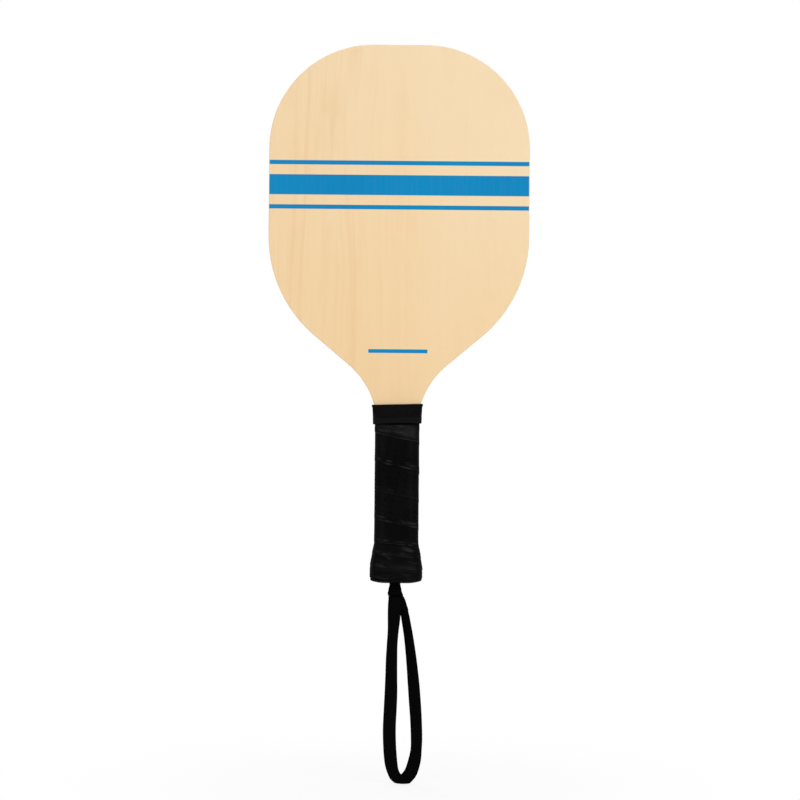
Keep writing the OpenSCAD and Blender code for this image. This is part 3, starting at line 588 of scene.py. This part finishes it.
class Strap:
    """The webbing's route unrolled: how far it runs down, drifts sideways and measures along itself."""

    def __init__(self):
        self.route = strap_route()
        self.down, self.drift, self.length = [0.0], [0.0], [0.0]
        for (a, across, _), (b, _, _) in zip(self.route, self.route[1:]):
            side = (b - a).dot(across)
            fall = math.sqrt(max((b - a).length_squared - side * side, 1e-12))
            self.down.append(self.down[-1] + fall)
            self.drift.append(self.drift[-1] + side)
            self.length.append(self.length[-1] + (b - a).length)

    def point(self, along, sideways, out):
        """A place on the webbing, square to its length and lifted off its middle."""
        i, share = stretch_at(self.length, along)
        near, far = max(0, i - READ_STEPS), min(len(self.length) - 1, i + 1 + READ_STEPS)
        run = self.length[far] - self.length[near]
        slant, steep = (self.drift[far] - self.drift[near]) / run, (self.down[far] - self.down[near]) / run
        down = self.down[i] + share * (self.down[i + 1] - self.down[i])
        drift = self.drift[i] + share * (self.drift[i + 1] - self.drift[i])
        j, part = stretch_at(self.down, down - sideways * slant)
        here = self.drift[j] + part * (self.drift[j + 1] - self.drift[j])
        middle, across, outward = (a.lerp(b, part) for a, b in zip(self.route[j], self.route[j + 1]))
        return middle + across.normalized() * (drift + sideways * steep - here) + outward.normalized() * out


def wrist_loop():
    """The loop below the sewn bar: down in front, round the soft fold and up at the back."""
    strap = Strap()
    total = strap.length[-1]
    bm = bmesh.new()
    woven_strip(bm, total)
    for vert in bm.verts:
        vert.co = strap.point(*vert.co)
        from_middle = (vert.co.x - FOLD_X) / FOLD_HALF
        vert.co.z -= FOLD_SAG * below(vert.co.z, FOLD_TOP, FOLD_FADE) * (1 - from_middle * from_middle)
    piece = made_piece(bm, "wrist_strap_loop", webbing, 75)
    count = round(total / PATH_STEP)
    path = [row_point(*strap.point(total * i / count, 0, 0)) for i in range(count + 1)]
    return piece, path, total * 0.001


def strap_ends():
    """The two ends of the webbing: pinned in the handle, drawn together in the slot, down to the sewn bar."""
    bm = bmesh.new()
    woven_strip(bm, STRAP_TOP - SEWN_Z)
    for vert in bm.verts:
        z = STRAP_TOP - vert.co.x
        pinch = min(below(z, *PINCH_FROM), above(z, *PINCH_TO))
        swell = MOUTH_SWELL * below(z, *SWELL_FROM) * above(z, *SWELL_TO)
        lean = -MOUTH_LEAN * below(z, *LEAN_FROM) * above(z, *LEAN_TO)
        width = STRAP_W + pinch * (MOUTH_W - STRAP_W) + swell
        pull = SEWN_PULL * below(z, *PULL_FROM)
        vert.co = (vert.co.y * width / STRAP_W + lean, pull - LEG_Y - vert.co.z, z)
    pinned = [v for v in bm.verts if math.hypot(v.co.x, v.co.z - PIN_H) < PIN_CLEAR]
    bmesh.ops.delete(bm, geom=pinned, context="VERTS")
    hole = [edge for edge in bm.edges if edge.is_boundary]
    for vert in {vert for edge in hole for vert in edge.verts}:
        off = Vector((vert.co.x, 0, vert.co.z - PIN_H)).normalized() * PIN_CLEAR
        vert.co.x, vert.co.z = off.x, off.z + PIN_H
    bmesh.ops.bridge_loops(bm, edges=hole)
    bmesh.ops.mirror(bm, geom=bm.verts[:] + bm.edges[:] + bm.faces[:], axis="Y", merge_dist=0)
    for vert in bm.verts:
        vert.co.x += math.copysign(LEG_FAN * below(vert.co.z, *FAN_FROM), vert.co.y)
    bmesh.ops.recalc_face_normals(bm, faces=bm.faces)
    return made_piece(bm, "wrist_strap_ends", webbing, 75)


def sewn_bar():
    """The bar tack that holds the two legs together: slanting stitches side by side, front and back."""
    bm = bmesh.new()
    front = SEWN_PULL - 2 * LEG_Y
    for i in range(STITCHES):
        lean = math.radians(STITCH_LEAN if i % 2 else -STITCH_LEAN)
        laid = (
            Matrix.Translation((-BAR_HALF + STITCH_STEP * i, front + 0.22, SEWN_Z))
            @ Matrix.Rotation(lean, 4, "Y")
            @ Matrix.Diagonal((0.25, 0.2, 0.82, 1))
        )
        bmesh.ops.create_uvsphere(bm, u_segments=8, v_segments=6, radius=1, matrix=laid)
    for z in (-0.45, 0.45):
        laid = (
            Matrix.Translation((0, front + 0.14, SEWN_Z + z))
            @ Matrix.Diagonal((3.1, 0.2, 0.16, 1))
            @ Matrix.Rotation(math.pi / 2, 4, "Y")
        )
        bmesh.ops.create_uvsphere(bm, u_segments=8, v_segments=10, radius=1, matrix=laid)
    lay_uv(bm, "weave")
    bmesh.ops.mirror(bm, geom=bm.verts[:] + bm.edges[:] + bm.faces[:], axis="Y", merge_dist=0)
    bmesh.ops.recalc_face_normals(bm, faces=bm.faces)
    return made_piece(bm, "wrist_strap_sewn_bar", thread, 80)


loop, loop_path, loop_length = wrist_loop()
ends = strap_ends()
bar = sewn_bar()
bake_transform(ends)
for soft in (loop, bar):
    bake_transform(soft)
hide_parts("strap_tails", "strap_neck")
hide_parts("strap_loop")
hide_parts("strap_stitching")

# Plywood


def line_to(bm, tip, x, z):
    """Draws an edge on from a point of the outline."""
    drawn = bmesh.ops.extrude_vert_indiv(bm, verts=[tip])["verts"][0]
    drawn.co.x, drawn.co.z = x, z
    return drawn


def arc_to(bm, tip, centre, degrees, steps):
    """Swings a point of the outline round a centre, anticlockwise seen from the front."""
    swung = bmesh.ops.spin(
        bm, geom=[tip], cent=(centre[0], tip.co.y, centre[1]), axis=(0, -1, 0), angle=math.radians(degrees), steps=steps
    )
    return next(part for part in swung["geom_last"] if isinstance(part, bmesh.types.BMVert))


def ply(name, node, front, back, finish, mortised=False, rim=0.1, rim_steps=1):
    """One ply: half its outline is drawn, filled, mirrored and given its thickness, then its rim is eased."""
    bm = bmesh.new()
    if mortised:
        start = tip = bmesh.ops.create_vert(bm, co=(0, front, MORTISE_TOP))["vert"][0]
        tip = line_to(bm, tip, MORTISE_HALF, MORTISE_TOP)
        tip = line_to(bm, tip, MORTISE_HALF, CAP_FLOOR)
    else:
        start = tip = bmesh.ops.create_vert(bm, co=(0, front, PIN_H + PIN_HOLE_R))["vert"][0]
        tip = arc_to(bm, tip, (0, PIN_H), -180, PIN_HOLE_STEPS)
        tip = line_to(bm, tip, 0, CAP_FLOOR)
    tip = line_to(bm, tip, TANG_HALF, CAP_FLOOR)
    tip = line_to(bm, tip, TANG_HALF, NECK_HOLLOW[1])
    tip = arc_to(bm, tip, NECK_HOLLOW, -SHOULDER_SLOPE, NECK_STEPS)
    tip = line_to(bm, tip, *SHOULDER_TOP)
    tip = arc_to(bm, tip, LOWER_CORNER, SHOULDER_SLOPE, LOWER_CORNER_STEPS)
    tip = line_to(bm, tip, TOP_CORNER[0] + TOP_CORNER_R, TOP_CORNER[1])
    tip = arc_to(bm, tip, TOP_CORNER, 90, TOP_CORNER_STEPS)
    tip = line_to(bm, tip, 0, PADDLE_L)
    bm.edges.new((tip, start))
    bmesh.ops.edgeloop_fill(bm, edges=bm.edges)
    bmesh.ops.mirror(bm, geom=bm.verts[:] + bm.edges[:] + bm.faces[:], axis="X", merge_dist=0.001)
    thick = bmesh.ops.extrude_face_region(bm, geom=bm.faces[:])["geom"]
    bmesh.ops.translate(bm, vec=(0, back - front, 0), verts=[v for v in thick if isinstance(v, bmesh.types.BMVert)])
    bmesh.ops.recalc_face_normals(bm, faces=bm.faces)
    faces_out = (front,) if front < -VENEER_FROM else (back,) if back > VENEER_FROM else (front, back)
    rims = [
        edge
        for edge in bm.edges
        if edge.calc_face_angle(0) > 1
        and any(
            all(abs(v.co.y - y) < 0.001 and v.co.z > NECK_HOLLOW[1] - 0.01 for v in edge.verts)
            for y in faces_out
        )
    ]
    bmesh.ops.bevel(
        bm, geom=rims, offset=rim, offset_type="OFFSET", segments=rim_steps, profile=0.5, affect="EDGES", material=-1
    )
    flats = [face for face in bm.faces if len(face.verts) > 60]
    bmesh.ops.inset_region(bm, faces=flats, thickness=FLAT_INSET, use_even_offset=True, use_boundary=True)
    piece = made_piece(bm, name, finish, 50)
    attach(piece, "paddle")
    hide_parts(node)


ply("front_veneer", "front_face_veneer", -5, -4, front_wood, rim=0.75, rim_steps=4)
ply("front_crossband", "front_cross_ply", -4, -2.4, cross_wood)
ply("front_long_ply", "front_inner_ply", -2.4, -0.8, long_wood, mortised=True)
ply("middle_crossband", "core_ply", -0.8, 0.8, cross_wood, mortised=True)
ply("back_long_ply", "back_inner_ply", 0.8, 2.4, long_wood, mortised=True)
ply("back_crossband", "back_cross_ply", 2.4, 4, cross_wood)
ply("back_veneer", "back_face_veneer", 4, 5, back_wood, rim=0.75, rim_steps=4)

# Butt cap and collar


def rounded_ring(bm, half_x, half_y, r, z):
    """A flat ring round the handle: a circle whose quarters are drawn apart."""
    turned = Matrix.Translation((0, 0, z)) @ Matrix.Rotation(math.pi / (4 * RING_STEPS), 4, "Z")
    ring = bmesh.ops.create_circle(bm, segments=4 * RING_STEPS, radius=r, matrix=turned)["verts"]
    for vert in ring:
        vert.co.x += math.copysign(half_x - r, vert.co.x)
        vert.co.y += math.copysign(half_y - r, vert.co.y)
    return list({edge for vert in ring for edge in vert.link_edges})


def closed_sleeve(bm, rings):
    """Bridges every ring to the next, and the last to the first."""
    for ring, following in zip(rings, rings[1:] + rings[:1]):
        bmesh.ops.bridge_loops(bm, edges=ring + following)
    bmesh.ops.recalc_face_normals(bm, faces=bm.faces)


def butt_cap():
    """The cap from the rounded edge of its slot out to the lip, up the skirt and down the cavity."""
    bm = bmesh.new()
    (slot_x, slot_y), edge = SLOT_HALF, SLOT_EDGE
    rings = [rounded_ring(bm, slot_x, slot_y, slot_y - 0.05, z) for z in (CAP_FLOOR, edge)]
    for a in (0.4, 0.8, 1.2, math.pi / 2):
        out = edge * (1 - math.cos(a))
        rings.append(rounded_ring(bm, slot_x + out, slot_y + out, slot_y - 0.05 + out, edge * (1 - math.sin(a))))
    profile = [(r, DOME_R - math.sqrt(DOME_R**2 - r * r)) for r in (0.6, 2, 4, 6, 8, 9.2)]
    for degrees in (-71.7, -57, -43, -28, -14, 0):
        a = math.radians(degrees)
        profile.append((LIP_CENTRE[0] + LIP_ROUND * math.cos(a), LIP_CENTRE[1] + LIP_ROUND * math.sin(a)))
    profile += [(11.16, LIP_H - 0.12), (11.0, LIP_H), (CAP_SEAT_R, LIP_H), (CAP_SEAT_R, 9.6), (10.04, 10.4)]
    profile += [(8.0, CAP_H - 0.6), (7.7, CAP_H), (7.3, CAP_H)]
    profile += [(7.15, CAP_H - 0.3), (7.15, CAP_FLOOR + 0.3), (6.8, CAP_FLOOR)]
    rings += [rounded_ring(bm, CORNER_X + r, CORNER_Y + r, r, z) for r, z in profile]
    closed_sleeve(bm, rings)
    piece = made_piece(bm, "flared_butt_cap", cap_plastic, 45)
    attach(piece, "paddle")
    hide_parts("butt_cap")


def collar_ring(bm, wall, top_wall, z):
    """One ring of the collar: an even wall round the tape, then narrowing to the flat blade."""
    up = (z - COLLAR_BOTTOM) / (COLLAR_TOP - COLLAR_BOTTOM)
    over = max(0, (z - COLLAR_RAMP) / (COLLAR_TOP - COLLAR_RAMP))
    low = COLLAR_IN + wall
    half_x = TANG_HALF + low + up * (COLLAR_TOP_IN[0] + top_wall - TANG_HALF - low)
    half_y = HANDLE_HALF_Y + low + over * (COLLAR_TOP_IN[1] + top_wall - HANDLE_HALF_Y - low)
    r = HANDLE_ROUND + low + over * (COLLAR_TOP_R + top_wall - HANDLE_ROUND - low)
    return rounded_ring(bm, half_x, half_y, r, z)


def set_askew(bm):
    """Tilts the collar, or the film under it, and bows its foot up over the flat sides."""
    for vert in bm.verts:
        near_foot = eased(1 - (vert.co.z - COLLAR_BOTTOM) / COLLAR_FOOT)
        bow = COLLAR_BOW * near_foot * (1 - (vert.co.x / (TANG_HALF + COLLAR_IN)) ** 2)
        vert.co.z += COLLAR_TILT * vert.co.x + bow


def ribbed_collar():
    """The rubber collar: three low ribs at its foot, a bead at its top edge, a plain bore."""
    bm = bmesh.new()
    rub = bm.verts.layers.float.new("rub")
    stops = [(0, -0.42), (0.06, -0.2), (0.2, -0.05), (0.45, 0)]
    for rib in range(RIB_COUNT):
        foot = RIB_FOOT + RIB_PITCH * rib
        stops += [
            (foot + RIB_HALF + RIB_HALF * s / 4, RIB_T * (1 - (s / 4) ** 2) ** 0.5)
            for s in (-3.9, -3, -1.6, 0, 1.6, 3, 3.9)
        ]
    stops += [(z, 0) for z in (4.8, 6, 8, 10, 11.6, 12.4)]
    stops += [(12.7, 0.05), (12.95, 0.22), (13.2, 0.39), (13.6, 0.45)]
    stops += [(14.0, 0.43), (14.35, 0.3), (14.6, 0.08), (14.7, -0.2)]
    rings = [
        collar_ring(bm, COLLAR_WALL + out, COLLAR_TOP_WALL + out, COLLAR_BOTTOM + rise) for rise, out in stops
    ]
    # Rings on the ribs' crests carry a share of painted highlight
    for (rise, out), ring in zip(stops, rings):
        crest = eased((out - CREST_FROM) / CREST_RISE) if rise < RIBS_END else 0.0
        for edge in ring:
            edge.verts[0][rub] = edge.verts[1][rub] = crest
    bore = ((14.7, 0.15), (14.5, 0), (9.7, 0), (4.8, 0), (0.2, 0), (0, 0.15))
    rings += [collar_ring(bm, out, out, COLLAR_BOTTOM + rise) for rise, out in bore]
    closed_sleeve(bm, rings)
    set_askew(bm)
    piece = made_piece(bm, "ribbed_grip_collar", collar_rubber, 60)
    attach(piece, "paddle")
    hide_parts("grip_collar")


butt_cap()
ribbed_collar()

# Grip tape


def seam_height(turns):
    """Height of a turn's lower edge, in turns from the middle of the front. It climbs more slowly on the flare."""
    slowing, below = max(-1, min(0, turns)), min(0, turns + 1)
    climb = TAPE_PITCH * (max(0, turns) + slowing) + (TAPE_PITCH - START_PITCH) / 2 * slowing * slowing
    return SEAM_H + climb + START_PITCH * below


def seat_out(z):
    """How far what the tape lies on stands out from the plain handle."""
    for (low, a), (high, b) in zip(TAPE_SEAT, TAPE_SEAT[1:]):
        if z <= high:
            return a + (b - a) * max(0, (z - low) / (high - low))
    return TAPE_SEAT[-1][1]


def round_handle(along, reach):
    """A point on the way round the handle, a reach outside the corner centres. The front's middle is 0."""
    left = (along + CORNER_L + CORNER_X) % TURN_L
    for quarter in range(4):
        side = 2 * (CORNER_Y if quarter % 2 else CORNER_X)
        if left <= CORNER_L + side or quarter == 3:
            break
        left -= CORNER_L + side
    a = -math.pi / 2 * (quarter + min(left, CORNER_L) / CORNER_L)
    run = max(0, left - CORNER_L)
    x = (CORNER_X if quarter in (0, 3) else -CORNER_X) + reach * math.cos(a) + run * math.sin(a)
    y = (-CORNER_Y if quarter < 2 else CORNER_Y) + reach * math.sin(a) - run * math.cos(a)
    return x, y


def tucked(drop):
    """How much thinner the tape is towards its upper edge, which the next turn covers."""
    return (TAPE_T - TUCKED_T) * eased(1 - drop / (TAPE_LAP + TUCK_REACH))


def squeezed(z):
    """The tape's upper end is pressed together under the collar."""
    room = GRIP_TOP - COLLAR_SQUEEZE
    return z if z < COLLAR_SQUEEZE else COLLAR_SQUEEZE + room * (1 - math.exp((COLLAR_SQUEEZE - z) / room))


def wound(flat):
    """Winds a point of the flat tape on to the handle. Also gives how much painted highlight its raised parts take
    there.
    """
    turns = flat.x / TURN_L
    low = max(seam_height(turns), TAPE_BOTTOM)
    high = seam_height(turns + 1) + TAPE_LAP
    rise = flat.y / TAPE_W * (high - low)
    z = squeezed(low + rise)
    over = above(seam_height(turns), TAPE_BOTTOM, 6)
    under = below(high, GRIP_TOP, 4)
    if rise < TAPE_LAP:
        lifted = TAPE_T - tucked(TAPE_LAP - rise) + LAP_GAP
    else:
        lifted = HOLLOW_T * eased(1 - (rise - TAPE_LAP) / HOLLOW_REACH)
    free = 1 - eased((z - COLLAR_BOTTOM + 1.6) / 1.4)
    pull = 0.6 + 0.8 * noise.noise((flat.x * 0.045, 1.7, 0.3))
    ridge = over * RIDGE_T * pull * math.exp(-rise / RIDGE_REACH)
    fold = noise.noise((flat.x * 0.075, rise * 0.62 + flat.x * 0.012, 5.1))
    wave = WAVE_T * noise.noise((flat.x * 0.03, rise * 0.13, 9.2))
    crease = CREASE_T * max(0.0, fold) * math.exp(-((rise - CREASE_AT) ** 2) / 14) + wave
    swell = SWELL_T * math.exp(-(((z - COLLAR_BOTTOM + 3) / 2) ** 2))
    outer = TAPE_T - under * tucked(high - low - rise) + free * (ridge + crease + swell)
    inner = over * lifted
    seat = (seat_out(z - 1.5) + 2 * seat_out(z) + seat_out(z + 1.5)) / 4
    x, y = round_handle(flat.x, HANDLE_ROUND + FIT_GAP + seat + inner + flat.z / TAPE_T * (outer - inner))
    # The share of painted highlight grows on ridges and creases
    return Vector((x, y, z)), max(0.0, min(1.0, 0.7 + 1.4 * ridge + 2 * crease))


def grip_tape():
    """The cushion tape: a flat perforated strip, wound in overlapping turns from the lip of the cap up."""
    bm = bmesh.new()
    first, last = round(TAPE_START * TURN_L / TAPE_COLUMN), round(TAPE_END * TURN_L / TAPE_COLUMN)
    section = [(0, TAPE_T / 2), (0.12, TAPE_T * 0.86)] + [(y, TAPE_T) for y in OUTER_ROWS]
    section += [(y, 0) for y in INNER_ROWS]
    flat_tube(bm, [TAPE_COLUMN * i for i in range(first, last + 1)], section)
    holes = []
    for vert in bm.verts:
        step = round(vert.co.x / TAPE_COLUMN)
        for y, shift in HOLE_ROWS:
            on_row = abs(vert.co.y - y) < 0.01 and vert.co.z > TAPE_T - 0.01
            shown = seam_height(step * TAPE_COLUMN / TURN_L) + y < COLLAR_BOTTOM - 0.4
            if on_row and (step + shift) % HOLE_EVERY == 0 and step > FIRST_HOLE and shown:
                holes.append(vert)
    bmesh.ops.dissolve_verts(bm, verts=holes)
    punched = [face for face in bm.faces if len(face.verts) == 8]
    bmesh.ops.inset_individual(bm, faces=punched, thickness=0.3)
    for face in punched:
        middle = face.calc_center_median()
        for vert in face.verts:
            vert.co = middle + (vert.co - middle).normalized() * HOLE_R
    dark_verts = {vert for face in punched for vert in face.verts}
    bmesh.ops.inset_individual(bm, faces=punched, thickness=0.08)
    for vert in {vert for face in punched for vert in face.verts}:
        vert.co.z = HOLE_FLOOR
        dark_verts.add(vert)
    lay_uv(bm, "skin")
    # The holes take no painted highlight
    rub = bm.verts.layers.float.new("rub")
    for vert in bm.verts:
        vert.co, share = wound(vert.co)
        vert[rub] = 0.0 if vert in dark_verts else share
    bmesh.ops.recalc_face_normals(bm, faces=bm.faces)
    piece = made_piece(bm, "wound_grip_tape", cushion, 180)
    smoothing = piece.modifiers.new("soft edges", "SUBSURF")
    smoothing.levels = smoothing.render_levels = 1
    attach(piece, "paddle")
    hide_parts("grip_tape")


def finishing_film():
    """The thin film that holds the end of the tape and steps down on to the wood above it."""
    bm = bmesh.new()
    wood_out = FIT_GAP + FILM_T
    outside = [(FILM_IN + FILM_T, z) for z in FILM_ON_TAPE] + [(wood_out, z) for z in FILM_ON_WOOD]
    inside = [(out - FILM_T, z) for out, z in reversed(outside)]
    rings = []
    for out, z in outside + inside:
        reach = HANDLE_ROUND + seat_out(z) + out
        rings.append(rounded_ring(bm, CORNER_X + reach, CORNER_Y + reach, reach, z))
    closed_sleeve(bm, rings)
    set_askew(bm)
    piece = made_piece(bm, "wound_finishing_film", film, 60)
    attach(piece, "paddle")
    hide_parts("finishing_tape")


grip_tape()
finishing_film()

# CAD nodes that keep their shape

for node, finish in (
    ("front_handle_scale", scale_wood),
    ("back_handle_scale", scale_wood),
    ("cap_nails", steel),
    ("strap_pin", steel),
):
    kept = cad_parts[node]
    if not kept.material_slots:
        kept.data.materials.append(finish)
    for held in kept.material_slots:
        held.material = finish

# Floor, light and background


def seen_directly(tree):
    """1 for what the camera, a reflection or a clear body sees, 0 for light that falls on the object."""
    path = put(tree, "LightPath").outputs
    return most(tree, path["Is Camera Ray"], path["Is Glossy Ray"], path["Is Transmission Ray"])


def pale_floor():
    """A pale floor under the strap. It fades into the white background, keeps the shadow and is clear from below."""
    bm = bmesh.new()
    bmesh.ops.create_grid(bm, x_segments=1, y_segments=1, size=2)
    bmesh.ops.translate(bm, vec=(0, 0, -0.2104), verts=bm.verts)
    mesh = bpy.data.meshes.new("floor")
    bm.to_mesh(mesh)
    bm.free()
    floor = bpy.data.objects.new("floor", mesh)
    finish, tree, shader = new_finish("pale_floor", Roughness=0.9, Specular_IOR_Level=0.0)
    shader.inputs["Base Color"].default_value = (0.9, 0.9, 0.9, 1)
    far = put(tree, "VectorMath", {0: place(tree, (1, 1, 0))}, operation="LENGTH").outputs["Value"]
    white = put(tree, "Emission", {"Color": (1, 1, 1, 1), "Strength": 1.0}).outputs[0]
    share = times(tree, seen_directly(tree), spread(tree, far, 0.05, 0.3, 0.84, 1.0))
    lit = put(tree, "MixShader", {0: share, 1: shader.outputs[0], 2: white}).outputs[0]
    from_below = put(tree, "NewGeometry").outputs["Backfacing"]
    clear = put(tree, "BsdfTransparent").outputs[0]
    mixed = put(tree, "MixShader", {0: from_below, 1: lit, 2: clear})
    tree.links.new(mixed.outputs[0], tree.nodes["Material Output"].inputs["Surface"])
    mesh.materials.append(finish)
    bpy.context.scene.collection.objects.link(floor)


def studio_lamp(name, place_m, aim_m, size, watts):
    lamp = bpy.data.objects.new(name, bpy.data.lights.new(name, "AREA"))
    lamp.data.size, lamp.data.energy = size, watts
    lamp.location = place_m
    lamp.rotation_euler = (Vector(aim_m) - Vector(place_m)).to_track_quat("-Z", "Y").to_euler()
    bpy.context.scene.collection.objects.link(lamp)


pale_floor()
studio_lamp("key_right", (1.15, -1.5, 0.95), (0, 0, 0.08), 0.9, 14.5)
studio_lamp("fill_left", (-1.3, -1.5, 0.5), (0, 0, 0.05), 1.2, 6.5)
studio_lamp("back_left", (-1.0, 1.5, 0.9), (0, 0, 0.08), 1.2, 13)
studio_lamp("top_soft", (0.1, 0.2, 1.9), (0, 0, 0), 1.4, 9)

world = bpy.context.scene.world or bpy.data.worlds.new("studio")
bpy.context.scene.world = world
world.use_nodes = True
sky = world.node_tree
ambient = put(sky, "Background", {"Color": (1, 1, 1, 1), "Strength": 0.42})
backdrop = put(sky, "Background", {"Color": (1, 1, 1, 1), "Strength": 1.0})
shown = put(sky, "MixShader", {0: seen_directly(sky), 1: ambient.outputs[0], 2: backdrop.outputs[0]})
sky.links.new(shown.outputs[0], sky.nodes["World Output"].inputs["Surface"])
bpy.context.scene.view_settings.view_transform = "Standard"

bpy.context.view_layer.update()
